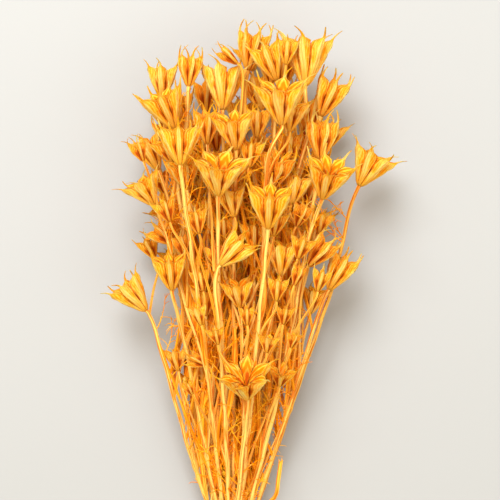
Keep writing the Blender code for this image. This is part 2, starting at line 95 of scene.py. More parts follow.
# Tie, a few turns of twine round the stalks
TIE_Y = -45.0
TWINE_RADIUS = 1.3
TWINE_TURNS = 4
TIE_GAP = 0.5
TIE_PACKING = 0.60          # share of the tie's opening that the stalks fill
TIE_STEPS = 96              # points in one turn of the twine
TURN_SPACING = 0.9          # the turns lie this share of the twine's width apart
PLY_SHARE = 0.56            # radius of a ply over that of the twine
PLY_PITCH = 7.0             # the plies go round each other once in this length
# The knot's loop and its two ends, from the top of the tie
KNOT_LOOP = (
    (-3.0, -3.6, 0.2), (-2.6, -1.2, 2.2), (-0.4, 1.2, 3.4), (2.0, 3.4, 2.0), (0.6, 4.4, 0.6),
    (-1.6, 3.0, 1.6), (0.2, 0.2, 3.8), (2.4, -2.6, 2.4), (3.0, -4.0, 0.2))
KNOT_ENDS = (
    ((0.0, 0.0, 2.2), (3.6, -2.0, 2.8), (8.0, -5.2, 1.4), (12.4, -9.6, -1.8), (15.0, -14.0, -5.6)),
    ((0.0, 0.4, 2.2), (-3.4, -1.0, 3.0), (-7.2, -5.0, 1.8), (-9.6, -10.6, 0.6), (-13.0, -15.4, -2.4)))

# Room between two stalks or heads, and how far the feet are cut flat
TIED_CLEARANCE = 0.5
LOOSE_FROM = 60.0           # stalks are further apart than that from this far up
CLEARANCE = 1.1
FOOT_CUT = 0.5

# Rule that moves crowded stalks and heads apart
SLICE = 10.0
MOVES = 460
FINAL_MOVES = 160
TIE_CENTRE_X = -15.0
TIE_SPREAD = 7.0            # the stalks start this far apart in the tie
CROWN_HALF_WIDTH = 100.0
CROWN_HEIGHT = 60.0
CROWN_HALF_HEIGHT = 55.0
SPRAY_POWER = 0.9           # how evenly the stalks fan out
STAGGER = 0.5
STAGGER_TURN = 0.3
LOWEST_FORK = 2
FORK_FREE = 2               # slices past a fork where its stalks still touch
NECK = 8.0                  # straight end of a stalk under its head
GROUND_GAP = 1.0
LEAST_LIFT = 0.35           # a head is pushed up or down at least this steeply
TINY = 1e-6                 # keeps a distance from being nothing
# Share of an overlap that one move takes away
HEAD_LIFT = 0.35
HEAD_SLIDE = 0.12
STALK_DODGE = 0.6
HEAD_RECOIL = 0.12
STALK_SPREAD = 0.4
# Share of its bend that a stalk loses in one move, and share of its way back
# that a head goes
EASE = 0.25
FINAL_EASE = 0.05
RETURN_ACROSS = 0.06
RETURN_DOWN = 0.004
# The balls that stand for a head: places along it, and radii when shut with
# what full openness adds, as shares of its length
BALL_PLACES = np.array([0.10, 0.36, 0.62, 0.90])
BALL_RADII = ((0.12, 0.02), (0.20, 0.13), (0.25, 0.22), (0.22, 0.40))

# One row a head: its stem, x, y and z of its foot, lean to the right and rise
# from the ground in degrees, length, openness and number of pods. The first
# row of a stem is its main head, and the others sit on branches.
Head = namedtuple("Head", "stem x y z lean rise length open pods")
HEADS = [
    Head(1, -88, 161, 60, -40, 5, 39, 0.35, 6),
    Head(1, -61, 109, 46, -8, 8, 25, 0.50, 4),
    Head(1, -57, 89, 42, 12, 10, 22, 0.40, 4),
    Head(2, -65, 179, 80, -5, 15, 38, 0.60, 6),
    Head(2, -37, 115, 66, -66, 5, 22, 0.45, 4),
    Head(3, -78, 281, 50, -23, 0, 38, 0.30, 5),
    Head(3, -63, 243, 45, -62, 10, 28, 0.70, 6),
    Head(3, -66, 218, 58, -52, 10, 30, 0.60, 5),
    Head(4, -74, 340, 60, 2, 0, 36, 0.30, 5),
    Head(4, -58, 322, 44, -4, 0, 32, 0.45, 5),
    Head(5, -63, 314, 82, -22, 12, 42, 0.65, 7),
    Head(6, -56, 281, 112, -2, 0, 40, 0.75, 7),
    Head(6, -80, 250, 78, -30, 8, 32, 0.70, 6),
    Head(7, -52, 263, 75, -10, 20, 36, 0.90, 6),
    Head(7, -35, 301, 62, -1, 15, 38, 0.42, 6),
    Head(8, -50, 349, 65, 4, 0, 36, 0.40, 6),
    Head(8, -37, 157, 60, 0, 15, 32, 0.50, 5),
    Head(9, -21, 330, 76, 2, -5, 46, 0.35, 6),
    Head(9, -40, 284, 34, -8, 3, 34, 0.50, 5),
    Head(10, -25, 257, 106, 5, 25, 40, 0.75, 6),
    Head(10, -36, 232, 56, -10, 10, 36, 0.75, 6),
    Head(11, -4, 365, 56, 12, 5, 44, 0.50, 7),
    Head(11, -10, 367, 74, -50, 5, 26, 0.10, 3),
    Head(12, 22, 354, 90, -20, 12, 40, 0.35, 6),
    Head(12, 10, 333, 42, -14, 0, 38, 0.40, 5),
    Head(13, 26, 315, 102, -2, 20, 44, 0.65, 6),
    Head(13, 6, 258, 62, -1, 10, 34, 0.60, 6),
    Head(14, 47, 350, 75, 2, 0, 50, 0.45, 7),
    Head(14, 52, 316, 40, 6, 0, 36, 0.50, 5),
    Head(15, 60, 326, 60, 22, 10, 44, 0.40, 6),
    Head(15, 29, 352, 40, 2, 0, 40, 0.40, 5),
    Head(16, 59, 288, 85, 3, 5, 44, 0.50, 6),
    Head(16, 31, 284, 68, 3, 10, 38, 0.40, 5),
    Head(16, 45, 222, 52, 14, 8, 34, 0.65, 6),
    Head(17, 15, 230, 112, 3, 20, 44, 0.60, 6),
    Head(17, 4, 212, 64, -2, 12, 33, 0.65, 6),
    Head(18, 19, 264, 85, 10, 25, 42, 0.70, 6),
    Head(18, 26, 191, 85, 4, 10, 36, 0.35, 5),
    Head(19, 60, 255, 95, 14, 30, 42, 0.70, 7),
    Head(19, 52, 246, 60, -58, 3, 21, 0.35, 4),
    Head(20, 93, 267, 60, 27, 5, 40, 0.60, 7),
    Head(20, 49, 199, 75, 38, 10, 40, 0.35, 5),
    Head(21, 67, 179, 70, 28, 5, 42, 0.30, 6),
    Head(21, 52, 158, 48, 14, 8, 28, 0.50, 5),
    Head(22, -2, 88, 85, -5, 35, 38, 0.90, 6),
    Head(22, -8, 164, 84, -6, 15, 30, 0.60, 5),
    Head(23, 30, 162, 64, 6, 12, 28, 0.45, 5),
    Head(23, 25, 97, 66, 10, 30, 24, 0.80, 4),
    Head(24, -24, 200, 104, 46, 10, 38, 0.20, 5),
    Head(24, -32, 184, 48, -6, 8, 31, 0.60, 5),
    Head(25, -12, 295, 98, -5, 20, 38, 0.60, 6),
    Head(26, -2, 289, 55, 38, 18, 36, 0.45, 5),
    Head(26, 5, 159, 60, 0, 10, 28, 0.30, 4),
    Head(27, -68, 298, 22, -15, -3, 38, 0.40, 5),
    Head(27, -49, 228, 24, -20, 0, 36, 0.40, 5),
    Head(28, -38, 332, 24, -5, 0, 38, 0.40, 5),
    Head(28, -28, 211, 22, -10, -3, 36, 0.40, 5),
    Head(29, -7, 313, 22, 3, 0, 38, 0.40, 5),
    Head(29, 0, 245, 24, 5, -3, 36, 0.40, 5),
    Head(30, 23, 330, 24, 6, 0, 38, 0.40, 5),
    Head(30, 24, 236, 22, 6, -3, 36, 0.40, 5),
    Head(31, 48, 304, 22, 12, 0, 38, 0.40, 5),
    Head(31, 53, 219, 24, 18, 0, 36, 0.40, 5),
    Head(32, -19, 272, 24, 0, 0, 36, 0.40, 5),
    Head(32, 8, 196, 36, 4, 0, 32, 0.40, 5),
]
STEM_COUNT = 32
# The two heads that the bunch lies on, one on each side of its weight
FOOT_HEADS = ((27, 1), (31, 1))


def heading(head):
    """Unit vector from a head's foot to its top."""
    lean = math.radians(head.lean)
    rise = math.radians(head.rise)
    flat = math.cos(rise)
    return np.array([math.sin(lean) * flat, math.cos(lean) * flat, math.sin(rise)])


def unevenness(head, pod):
    """A small, fixed irregularity between -1 and 1 for one pod of one head.

    A number added to the pod's own gives another irregularity of that pod.
    """
    return math.sin(12.9 * head.x + 7.3 * head.y + 37.7 * pod)


def pod_directions(head):
    """Direction away from the axis, and the one across it, for each pod.

    The first pod is on top, a little to one side.
    """
    axis = heading(head)
    up = np.array([0.0, 0.0, 1.0])
    front = up - axis * up.dot(axis)
    front /= np.linalg.norm(front)
    side = np.cross(front, axis)
    roll = POD_ROLL * unevenness(head, 9)
    for pod in range(head.pods):
        angle = roll + math.tau * pod / head.pods
        out = math.cos(angle) * front + math.sin(angle) * side
        across = math.cos(angle) * side - math.sin(angle) * front
        yield pod, out, across


def pod_size(head, pod):
    """Length and openness of one pod, a little off those of its head."""
    size = head.length * (1 + SIZE_UNEVENNESS * unevenness(head, pod))
    openness = head.open * (1 + OPENNESS_UNEVENNESS * unevenness(head, pod + 3))
    return size, openness


def pod_ring(head, foot, section, pod, out, across):
    """Three corners of a pod's section: its edge, and both sides of its back."""
    size, openness = pod_size(head, pod)
    back = size * (section.back + section.back_open * openness)
    edge = size * (section.edge + section.edge_open * openness)
    room = POD_CROWDING * back * math.tan(math.pi / head.pods)
    half_width = min(size * section.half_width, room)
    centre = foot + heading(head) * size * section.height
    return [
        centre + out * edge,
        centre + out * back - across * half_width,
        centre + out * back + across * half_width,
    ]


def beak_tip(head, foot, pod, out, across):
    """Tip of the beak of one pod."""
    size, openness = pod_size(head, pod)
    reach = size * (BEAK_TIP[0] + BEAK_TIP[1] * openness)
    height = size * (1 - BEAK_UNEVENNESS * (1 + unevenness(head, pod + 5)))
    sway = across * size * BEAK_SWAY * unevenness(head, pod + 6)
    return foot + heading(head) * height + out * reach + sway


def lowest_of(head):
    """How far a head reaches below its own foot."""
    foot = np.zeros(3)
    lowest = 0.0
    for pod, out, across in pod_directions(head):
        for section in (WIDEST, SHOULDER, BEAK_ROOT):
            for point in pod_ring(head, foot, section, pod, out, across):
                lowest = min(lowest, point[2])
        lowest = min(lowest, beak_tip(head, foot, pod, out, across)[2])
    return lowest


def parents_of(heads):
    """Index of each head's main head, or -1 where it is one itself."""
    first = {}
    parents = []
    for index, head in enumerate(heads):
        parents.append(first.get(head.stem, -1))
        first.setdefault(head.stem, index)
    return np.array(parents)


def settle(heads):
    """Move crowded heads and stalks apart until each has its clearance.

    A stalk is a row of points, one in each slice across Y. A head is four
    balls along its axis. Both are pushed mainly up and down, so that the
    bunch keeps its look from above.
    """
    count = len(heads)
    feet = np.array([[head.x, head.y, head.z] for head in heads], float)
    axes = np.array([heading(head) for head in heads])
    lengths = np.array([head.length for head in heads], float)
    openness = np.array([head.open for head in heads])
    stems = np.array([head.stem for head in heads])
    reach = np.array([lowest_of(head) for head in heads])
    parents = parents_of(heads)
    mains = parents < 0
    fixed = np.zeros(count, bool)
    order = np.array([(stems[:i] == stems[i]).sum() for i in range(count)])
    for stem, place in FOOT_HEADS:
        fixed |= (stems == stem) & (order == place)
    feet[fixed, 2] = -reach[fixed] - FOOT_CUT
    wanted = feet.copy()

    ball_radii = np.stack([shut + more * openness for shut, more in BALL_RADII], axis=1)
    ball_radii *= lengths[:, None]
    owner = np.repeat(np.arange(count), len(BALL_PLACES))

    slices = int((feet[:, 1].max() - TIE_Y) / SLICE) + 2
    y = TIE_Y + SLICE * np.arange(slices)
    last = np.floor((feet[:, 1] - TIE_Y) / SLICE - 1).astype(int)
    first = np.where(mains, 0, np.maximum(LOWEST_FORK, FORK_SHARE * last)).astype(int)
    steps = np.arange(slices)[None, :]
    live = (steps >= first[:, None]) & (steps <= last[:, None])
    inner = (steps > first[:, None]) & (steps <= last[:, None])
    radii = np.where(mains, STEM_RADIUS, BRANCH_RADIUS)
    looseness = np.clip((y - TIE_Y) / LOOSE_FROM, 0, 1)
    room = TIED_CLEARANCE + (CLEARANCE - TIED_CLEARANCE) * looseness

    tie_z = tie_height()
    tie_limit = tie_inner_radius() - TIE_GAP - STEM_RADIUS
    start_x = TIE_CENTRE_X + TIE_SPREAD * (feet[:, 0] - TIE_CENTRE_X) / CROWN_HALF_WIDTH
    start_z = tie_z + TIE_SPREAD * (feet[:, 2] - CROWN_HEIGHT) / CROWN_HALF_HEIGHT
    share = np.clip((y[None] - TIE_Y) / (feet[:, 1:2] - TIE_Y), 0, 1) ** SPRAY_POWER
    x = start_x[:, None] + (feet[:, 0] - start_x)[:, None] * share
    z = start_z[:, None] + (feet[:, 2] - start_z)[:, None] * share
    for index in np.flatnonzero(~mains):
        run = max(1, last[index] - first[index])
        share = np.clip((steps[0] - first[index]) / run, 0, 1)
        x[index] = x[parents[index]] * (1 - share) + feet[index, 0] * share
        z[index] = z[parents[index]] * (1 - share) + feet[index, 2] * share
    z += STAGGER * np.sin(STEM_TURN * np.arange(count)[:, None] + STAGGER_TURN * steps)

    free_pair = stems[:, None] != stems[None, :]
    later_fork = np.maximum(first[:, None], first[None, :])
    past_fork = steps[None] >= later_fork[:, :, None] + FORK_FREE
    pair = live[:, None] & live[None] & (free_pair[:, :, None] | past_fork)
    pair &= ~np.eye(count, dtype=bool)[:, :, None]
    not_own = owner[None, :] != np.arange(count)[:, None]

    for move in range(MOVES):
        balls = feet[:, None] + axes[:, None] * (BALL_PLACES * lengths[:, None])[:, :, None]
        flat_balls = balls.reshape(-1, 3)
        flat_radii = ball_radii.reshape(-1)

        # Heads against heads
        apart = flat_balls[:, None] - flat_balls[None]
        distance = np.linalg.norm(apart, axis=2) + TINY
        push = flat_radii[:, None] + flat_radii[None] + CLEARANCE - distance
        push[owner[:, None] == owner[None]] = 0
        push = np.clip(push, 0, None)
        unit = apart / distance[..., None]
        sign = np.where(unit[..., 2] >= 0, 1.0, -1.0)
        upward = sign * np.maximum(np.abs(unit[..., 2]), LEAST_LIFT)
        lift = (push * upward).reshape(count, -1)
        slide = (push * unit[..., 0]).reshape(count, -1)
        feet[:, 2] += HEAD_LIFT * (lift.max(axis=1) + lift.min(axis=1)) * ~fixed
        feet[:, 0] += HEAD_SLIDE * (slide.max(axis=1) + slide.min(axis=1)) * ~fixed

        # Stalks against heads
        disc = flat_radii[:, None] ** 2 - (y[None] - flat_balls[:, 1:2]) ** 2
        cross = np.sqrt(np.clip(disc, 0, None))
        dx = x[:, None] - flat_balls[None, :, 0:1]
        dz = z[:, None] - flat_balls[None, :, 2:3]
        distance = np.hypot(dx, dz) + TINY
        push = cross[None] + radii[:, None, None] + CLEARANCE - distance
        meets = (disc > 0)[None] & live[:, None] & not_own[:, :, None]
        push = np.where(meets, np.clip(push, 0, None), 0)
        push_x = push * dx / distance
        push_z = push * dz / distance
        x += STALK_DODGE * (push_x.max(axis=1) + push_x.min(axis=1))
        z += STALK_DODGE * (push_z.max(axis=1) + push_z.min(axis=1))
        recoil = push_z.max(axis=(0, 2)) + push_z.min(axis=(0, 2))
        recoil = recoil.reshape(count, -1)
        feet[:, 2] -= HEAD_RECOIL * (recoil.max(axis=1) + recoil.min(axis=1)) * ~fixed

        # Stalks against stalks
        dx = x[:, None] - x[None]
        dz = z[:, None] - z[None]
        distance = np.hypot(dx, dz) + TINY
        push = radii[:, None, None] + radii[None, :, None] + room - distance
        push = np.where(pair, np.clip(push, 0, None), 0)
        x += STALK_SPREAD * (push * dx / distance).sum(axis=1)
        z += STALK_SPREAD * (push * dz / distance).sum(axis=1)

        # The tie holds the stalks in, and each stalk is kept smooth
        for step, limit in ((0, tie_limit), (1, tie_limit + TIE_GAP)):
            off_x = x[mains, step] - TIE_CENTRE_X
            off_z = z[mains, step] - tie_z
            shrink = np.minimum(1, limit / (np.hypot(off_x, off_z) + TINY))
            x[mains, step] = TIE_CENTRE_X + off_x * shrink
            z[mains, step] = tie_z + off_z * shrink
        rows = np.arange(count)
        tail = feet - axes * NECK
        x[rows, last + 1] = tail[:, 0]
        z[rows, last + 1] = tail[:, 2]
        sides = rows[~mains]
        x[sides, first[sides]] = x[parents[sides], first[sides]]
        z[sides, first[sides]] = z[parents[sides], first[sides]]
        ease = FINAL_EASE if move >= MOVES - FINAL_MOVES else EASE
        x[mains, 0] += ease * (x[mains, 1] - x[mains, 0])
        z[mains, 0] += ease * (z[mains, 1] - z[mains, 0])
        x += ease * inner * (0.5 * (np.roll(x, 1, 1) + np.roll(x, -1, 1)) - x)
        z += ease * inner * (0.5 * (np.roll(z, 1, 1) + np.roll(z, -1, 1)) - z)

        # Heads drift back to their places, and nothing goes below the ground
        feet[:, 0] += RETURN_ACROSS * (wanted[:, 0] - feet[:, 0])
        feet[:, 2] += RETURN_DOWN * (wanted[:, 2] - feet[:, 2])
        feet[:, 2] = np.where(fixed, feet[:, 2], np.maximum(feet[:, 2], GROUND_GAP - reach))
        z = np.where(live, np.maximum(z, radii[:, None] + GROUND_GAP), z)

    routes = []
    for index in range(count):
        low, high = first[index], last[index]
        points = np.stack([x[index], y, z[index]], axis=1)[low:high + 1]
        foot = feet[index]
        ends = [foot - axes[index] * NECK, foot + axes[index] * STALK_INTO_HEAD]
        points = np.vstack([points, *ends])
        if mains[index]:
            points = np.vstack([cut_end(points[0], heads[index].stem, tie_z), points])
        routes.append(points)
    return feet, routes


def tie_height():
    """Height of the tie's centre, so that the tie lies on the ground."""
    return tie_inner_radius() + 2 * TWINE_RADIUS - FOOT_CUT


def tie_inner_radius():
    """Radius of a round bundle of all the stems with their clearance."""
    cell = STEM_RADIUS + TIED_CLEARANCE / 2
    return cell * math.sqrt(STEM_COUNT / TIE_PACKING) + TIE_GAP


def cut_end(at_tie, stem, tie_z):
    """The end of a stem beyond the tie, where the bundle opens a little."""
    centre = np.array([TIE_CENTRE_X, TIE_Y, tie_z])
    end = centre + (at_tie - centre) * CUT_END_SPLAY
    end[1] = CUT_END_Y + CUT_END_STEP * math.sin(STEM_TURN * stem)
    return end


def rounded(points, parts=3):
    """Points on a smooth curve through the given ones."""
    padded = np.vstack([2 * points[0] - points[1], points, 2 * points[-1] - points[-2]])
    curve = []
    for a, b, c, d in zip(padded, padded[1:], padded[2:], padded[3:]):
        for part in range(parts):
            t = part / parts
            curve.append(0.5 * (2 * b + (c - a) * t + (2 * a - 5 * b + 4 * c - d) * t ** 2
                                + (3 * b - a - 3 * c + d) * t ** 3))
    curve.append(points[-1])
    return np.array(curve)


# One pod of a seed head. Its outline is a slice across it: how far to the side
# and how far out, as shares of its half width and half depth, from the groove
# down the middle of its back to the slit that faces the head's axis. The last
# two numbers are how far each point moves where the slit gapes.
Corner = namedtuple("Corner", "side out gape_side gape_out")
HALF_OUTLINE = (
    Corner(0.00, 0.91, 0.00, 0.00),
    Corner(0.24, 1.00, 0.00, 0.00),
    Corner(0.42, 0.93, 0.00, 0.00),
    Corner(0.60, 0.70, 0.00, 0.00),
    Corner(0.84, 0.40, 0.00, 0.00),
    Corner(1.00, 0.02, 0.00, 0.00),
    Corner(0.92, -0.38, 0.10, 0.00),
    Corner(0.60, -0.78, 0.46, 0.00),
    Corner(0.30, -1.00, 0.86, 0.00),
    Corner(0.20, -0.96, 0.78, 0.03),
    Corner(0.10, -0.90, 0.46, 0.60),
    Corner(0.00, -0.86, 0.00, 0.90),
)
OUTLINE = HALF_OUTLINE + tuple(
    Corner(-corner.side, corner.out, -corner.gape_side, corner.gape_out)
    for corner in HALF_OUTLINE[-2:0:-1])
ROWS = (0.0, 0.03, 0.08, 0.15, 0.23, 0.315, 0.40, 0.48, 0.55, 0.61, 0.65, 0.685, 0.71, 0.73,
        0.75, 0.78, 0.84, 0.92, 1.0)

# Along a pod, from foot (0) to beak tip (1), as shares of the head's length:
# its back when shut and what full openness adds, its edge the same way, and
# its half width. The solid's own backs lie on these curves.
Station = namedtuple("Station", "at back back_open edge edge_open half_width")
STATIONS = (
    Station(0.00, CUP_FOOT, 0.0, 0.000, 0.000, 0.036),
    Station(0.05, 0.088, 0.022, 0.002, 0.000, 0.050),
    Station(CUP_WAIST_HEIGHT, *CUP_WAIST, 0.005, 0.000, 0.070),
    Station(CUP_RIM_HEIGHT, *CUP_RIM, 0.008, 0.012, 0.084),
    Station(0.42, 0.222, 0.150, 0.022, 0.046, 0.085),
    Station(WIDEST.height, *WIDEST[1:4], 0.092, 0.085),
    Station(0.60, 0.249, 0.225, 0.058, 0.124, 0.084),
    Station(SHOULDER.height, *SHOULDER[1:3], 0.080, 0.168, 0.077),
    Station(0.70, 0.241, 0.296, 0.112, 0.220, 0.062),
    Station(0.725, 0.237, 0.316, 0.150, 0.268, 0.046),
    Station(BEAK_ROOT.height, *BEAK_ROOT[1:3], 0.186, 0.306, 0.032),
    Station(0.80, 0.230, 0.354, 0.200, 0.336, 0.024),
    Station(0.90, 0.227, 0.392, 0.202, 0.382, 0.018),
    Station(1.00, 0.226, BEAK_TIP[1], 0.208, BEAK_TIP[1], 0.012),
)
SLIT_OPENS = (0.34, 0.50, 0.70, 0.76)
SLIT_VALUES = (0.0, 1.0, 1.0, 0.0)
GAPE = (0.45, 0.9, 0.35)    # of a slit: when shut, with openness, and its stray
LEAST_GAPE = 0.25
WIDE_GAPE = 0.100           # how far the lips of a wide open pod spread
WIDE_FROM = (0.25, 0.6)     # openness from where they spread, and over how much
WIDTH_UNEVENNESS = 0.22
CRUMPLE = 0.10
CRUMPLE_DEPTH = 0.14        # of the crumples, over their width
POD_STRAY = 0.13            # how much further apart the pods of one head stray
POD_TWIST = 0.30            # a pod leans to one side by up to this slope
BEAK_CURL = 0.11
FREE_CROWDING = 0.08        # free pods fill this much more room than the solids
CUP_CROWDING = 0.97
LEAST_HEIGHT = 0.02         # of a pod's points above the floor

# Stalks
STALK_RIBS = 6
SHOOT_RIBS = 4
RIB_DEPTH = 0.24
STALK_SMOOTHNESS = math.radians(70)
STALK_MERGE = 0.00001
THREAD_MERGE = 0.000001
KNUCKLE = 1.50              # a fork is this much thicker than the stalk
KNUCKLE_LENGTH = 7.0
WAVE = 0.30
WAVE_RUN = 20.0             # stretch over which the waves start and end
SMOOTHING = 6               # rounds that even out the bends of a stalk
TAPER = 0.20
COLLAR = 0.055              # share of a head's length at its foot
COLLAR_RUN = 6.0
BRANCH_FOOT = 0.25          # a branch is this much thicker where it starts
PALE_HEIGHTS = (38.0, 80.0)   # stems whose head lies higher get paler stalks
STUB_STEM = 21              # this stem has a branch that broke off
STUB_ROUTE = ((21.2, 0.0, 46.0), (24.5, 16.0, 49.0), (26.6, 31.5, 51.0))
STUB_RADIUS = 1.9
STUB_FORK_Y = -15.0
STUB_TINT = 0.22
SPLINTERS = ((-1.1, 3.6, 0.4), (-0.3, 1.6, 1.0), (0.6, 4.4, 0.2), (1.2, 2.4, -0.6))
SPLINTER_RADII = (0.75, 0.18)

# Dry leaves, each a stalk with curled threads. Most run from one stalk to
# another and fill the inside of the bunch, and a few stand out of it.
LEAF_SEED = 41
LEAF_CURL = (0.03, 0.14)
THREAD_LENGTH = (5, 15)
THREAD_SLANT = (0.2, 0.9)
THREAD_CURL = (0.12, 0.60)
THREAD_TURN = 0.4           # how fast a thread changes the way it curls
LOOSE_LEAF_SHARE = 0.55
LOOSE_LENGTH = (6, 13)
LOOSE_CURL = (0.5, 0.9)
INNER_LEAVES = 420
INNER_LEAF_Y = (-20.0, 300.0)
INNER_REACH = (12, 45)
INNER_SLOPE = 1.3
INNER_LENGTH = (22, 42)
CROWN_LEAVES = 330
CROWN_LEAF_Y = (215.0, 352.0)
LEAF_GROUPS = 4
LEAF_POINTS = 9
THREAD_POINTS = 8
LOWEST_LEAF_Y = 2.0

# Thin side shoots that lost their heads
SHOOT_SEED = 17
SHOOTS = 300
SHOOT_Y = (-25.0, 230.0)
SHOOT_REACH = (45, 120)
SHOOT_SLOPE = 0.45
SHOOT_BOW = 4
SHOOT_FOOT = (0.9, 1.2)     # thickness at both ends, over the shoots' radius
SHOOT_TIP = (0.45, 0.7)
SHOOT_POINTS = 12
SHOOT_RADIUS = 1.15
SHOOT_TINTS = (0.0, 0.0, 0.15, 0.35, 0.7)

# Broad dry strips, the papery rests of leaves deep inside the bunch
STRIPS = 150
STRIP_Y = (-25.0, 215.0)
STRIP_REACH = (40.0, 100.0)
STRIP_SLOPE = 0.35
STRIP_HALF_WIDTH = 2.6
STRIP_EDGE = ((1.0, 0.0), (0.62, 0.10), (0.22, -0.05), (-0.20, 0.08), (-0.60, -0.03),
              (-1.0, 0.05), (-0.60, -0.13), (-0.20, -0.02), (0.22, -0.15), (0.62, 0.0))
STRIP_BOW = 5
STRIP_END = 0.25            # width at both ends, and what the middle has more
STRIP_MIDDLE = (0.5, 0.9)
STRIP_TILT = 0.7
STRIP_TINTS = (0.0, 0.10, 0.25)

# Small heads between the others, each on a thin branch from a stalk near it:
# x and y of the foot, lean to the right in degrees, length and number of pods.
# How high they sit follows from the room between the stalks.
SmallHead = namedtuple("SmallHead", "x y lean length pods")
SMALL_HEADS = tuple(SmallHead(*row) for row in (
    (10, 306, 5, 31, 5), (37, 311, 8, 31, 5), (47, 263, 10, 29, 5), (-70, 262, -20, 27, 5),
    (60, 178, 15, 25, 4), (-78, 205, -24, 25, 4), (-24, 297, -10, 31, 5), (-47, 304, -6, 29, 5),
    (-9, 268, 8, 31, 5), (-32, 273, -12, 29, 5), (13, 281, 0, 31, 5), (40, 288, 12, 31, 5),
    (60, 269, 15, 26, 4), (-61, 286, -20, 28, 5), (-9, 240, -8, 30, 5), (32, 251, 15, 31, 5),
    (17, 241, 0, 29, 4), (43, 232, 20, 27, 4), (-39, 251, -15, 28, 5), (-51, 207, -15, 26, 4),
    (-17, 219, -5, 28, 5), (33, 211, 6, 27, 5), (13, 205, 4, 26, 4), (-57, 181, -22, 23, 4),
    (-43, 178, -10, 24, 4), (-17, 177, 12, 25, 4), (18, 170, 6, 25, 4), (41, 183, 18, 24, 4),
    (-27, 243, 10, 28, 4), (10, 127, 8, 19, 4), (-22, 134, -12, 19, 4), (30, 131, 15, 18, 4),
    (-43, 92, -28, 17, 4), (7, 369, -10, 28, 5), (42, 332, 0, 30, 5), (14, 351, -4, 29, 5),
    (66, 302, 10, 26, 4), (-84, 286, -22, 24, 4), (54, 226, 14, 24, 4), (34, 366, 6, 27, 5),
    (-69, 318, -14, 27, 4), (24, 300, -3, 30, 5), (-16, 283, -4, 30, 5), (-46, 268, -14, 28, 5),
    (0, 281, 6, 28, 5), (27, 268, 8, 30, 5), (52, 277, 14, 28, 5), (-28, 257, -8, 28, 5),
    (48, 249, 12, 27, 4), (-62, 236, -20, 26, 4), (-38, 226, -12, 27, 5), (-4, 228, 2, 28, 5),
    (24, 224, 8, 27, 5), (-28, 198, -8, 25, 4), (0, 190, 4, 25, 4), (44, 205, 16, 25, 4),
    (-62, 196, -16, 23, 4), (24, 150, 8, 21, 4), (-6, 150, -3, 21, 4), (-36, 150, -14, 21, 4)))
SMALL_HEAD_SEED = 23
SMALL_HEAD_GROUPS = 2
SMALL_HEAD_Z = (14.0, 98.0)
SMALL_HEAD_STEP = 3.0       # heights are tried this far apart
SMALL_HEAD_SHIFTS = (-4.0, 0.0, 4.0)
SMALL_HEAD_RISE = 8.0
SMALL_HEAD_OPEN = (0.50, 0.22)   # openness, and how far it strays
SMALL_BRANCH_REACH = (34.0, 62.0)
SMALL_BRANCH_RADIUS = 0.95
SMALL_BRANCH_BOW = 0.12
SMALL_BRANCH_TINT = 0.35
HEIGHT_WORTH = 0.045        # how much overlap a millimetre of height is worth

# Patterns of the materials: patches and specks in a metre, and a pod's veins
PATCH_SCALE = 110.0
SPECK_SCALE = 420.0
VEINS_ROUND = 112.0
VEINS_ALONG = 30.0
VEIN_WANDER = 3.0

# Lamps: name, place, and the side of the square that shines. They aim at the
# middle of the bunch.
LAMPS = (("key", (-0.30, 0.80, 1.45), 0.9), ("fill", (0.70, -0.40, 1.50), 1.4))
LAMP_AIM = (0.0, 0.05, 0.05)
ROOM_LIGHT = (1.0, 0.88, 0.66, 1.0)
FLOOR_SIDE = 6
FLOOR_SHADE = 0.96          # tone of the floor's darker clouds

# Camera
PHOTO_SIDE = 0.425          # the photo's side, measured at the bunch
VIEW_CENTRE = (0.3, 212.5)  # the photo's middle, in the layout's millimetres
VIEW_PLANE = 0.060
CAMERA_DISTANCE = 1.5
SENSOR = 36.0


def eased(at, places, values):
    """A smooth curve through the given values, with no overshoot."""
    places = np.asarray(places)
    values = np.asarray(values)
    slopes = np.diff(values) / np.diff(places)
    rates = np.zeros(len(values))
    same_way = slopes[1:] * slopes[:-1] > 0
    means = 2 * slopes[1:] * slopes[:-1] / np.where(same_way, slopes[1:] + slopes[:-1], 1)
    rates[1:-1] = np.where(same_way, means, 0)
    rates[0] = slopes[0]
    rates[-1] = slopes[-1]
    span = np.clip(np.searchsorted(places, at, side="right") - 1, 0, len(slopes) - 1)
    width = places[span + 1] - places[span]
    t = (at - places[span]) / width
    low, high = values[span], values[span + 1]
    rise = rates[span] * width
    fall = rates[span + 1] * width
    return (low * (1 + 2 * t) * (1 - t) ** 2 + rise * t * (1 - t) ** 2
            + high * t * t * (3 - 2 * t) - fall * t * t * (1 - t))


def along_pod(at, field):
    """One measure of a pod, by its name, at places along the pod."""
    places = [station.at for station in STATIONS]
    return eased(at, places, [getattr(station, field) for station in STATIONS])


@functools.lru_cache(maxsize=1)
def bunch_layout():
    """Feet and stalk routes of all the heads, in the layout's millimetres."""
    return settle(HEADS)


def in_frame(points):
    """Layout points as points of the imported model, in metres."""
    shift = np.array([MIDDLE_X, MIDDLE_Y, 0.0])
    return (np.asarray(points) - shift) * MM


def alone(piece):
    """Select one object and make it active."""
    bpy.ops.object.select_all(action="DESELECT")
    piece.select_set(True)
    bpy.context.view_layer.objects.active = piece
    return piece


def joined(pieces, name):
    """One object made of the given ones."""
    bpy.ops.object.select_all(action="DESELECT")
    for piece in pieces:
        piece.select_set(True)
    bpy.context.view_layer.objects.active = pieces[0]
    if len(pieces) > 1:
        bpy.ops.object.join()
    made = bpy.context.object
    made.name = name
    made.data.name = name
    return made


def set_points(mesh, points):
    """Move the points of a mesh to the given places."""
    mesh.vertices.foreach_set("co", np.asarray(points, dtype=np.float32).ravel())
    mesh.update()


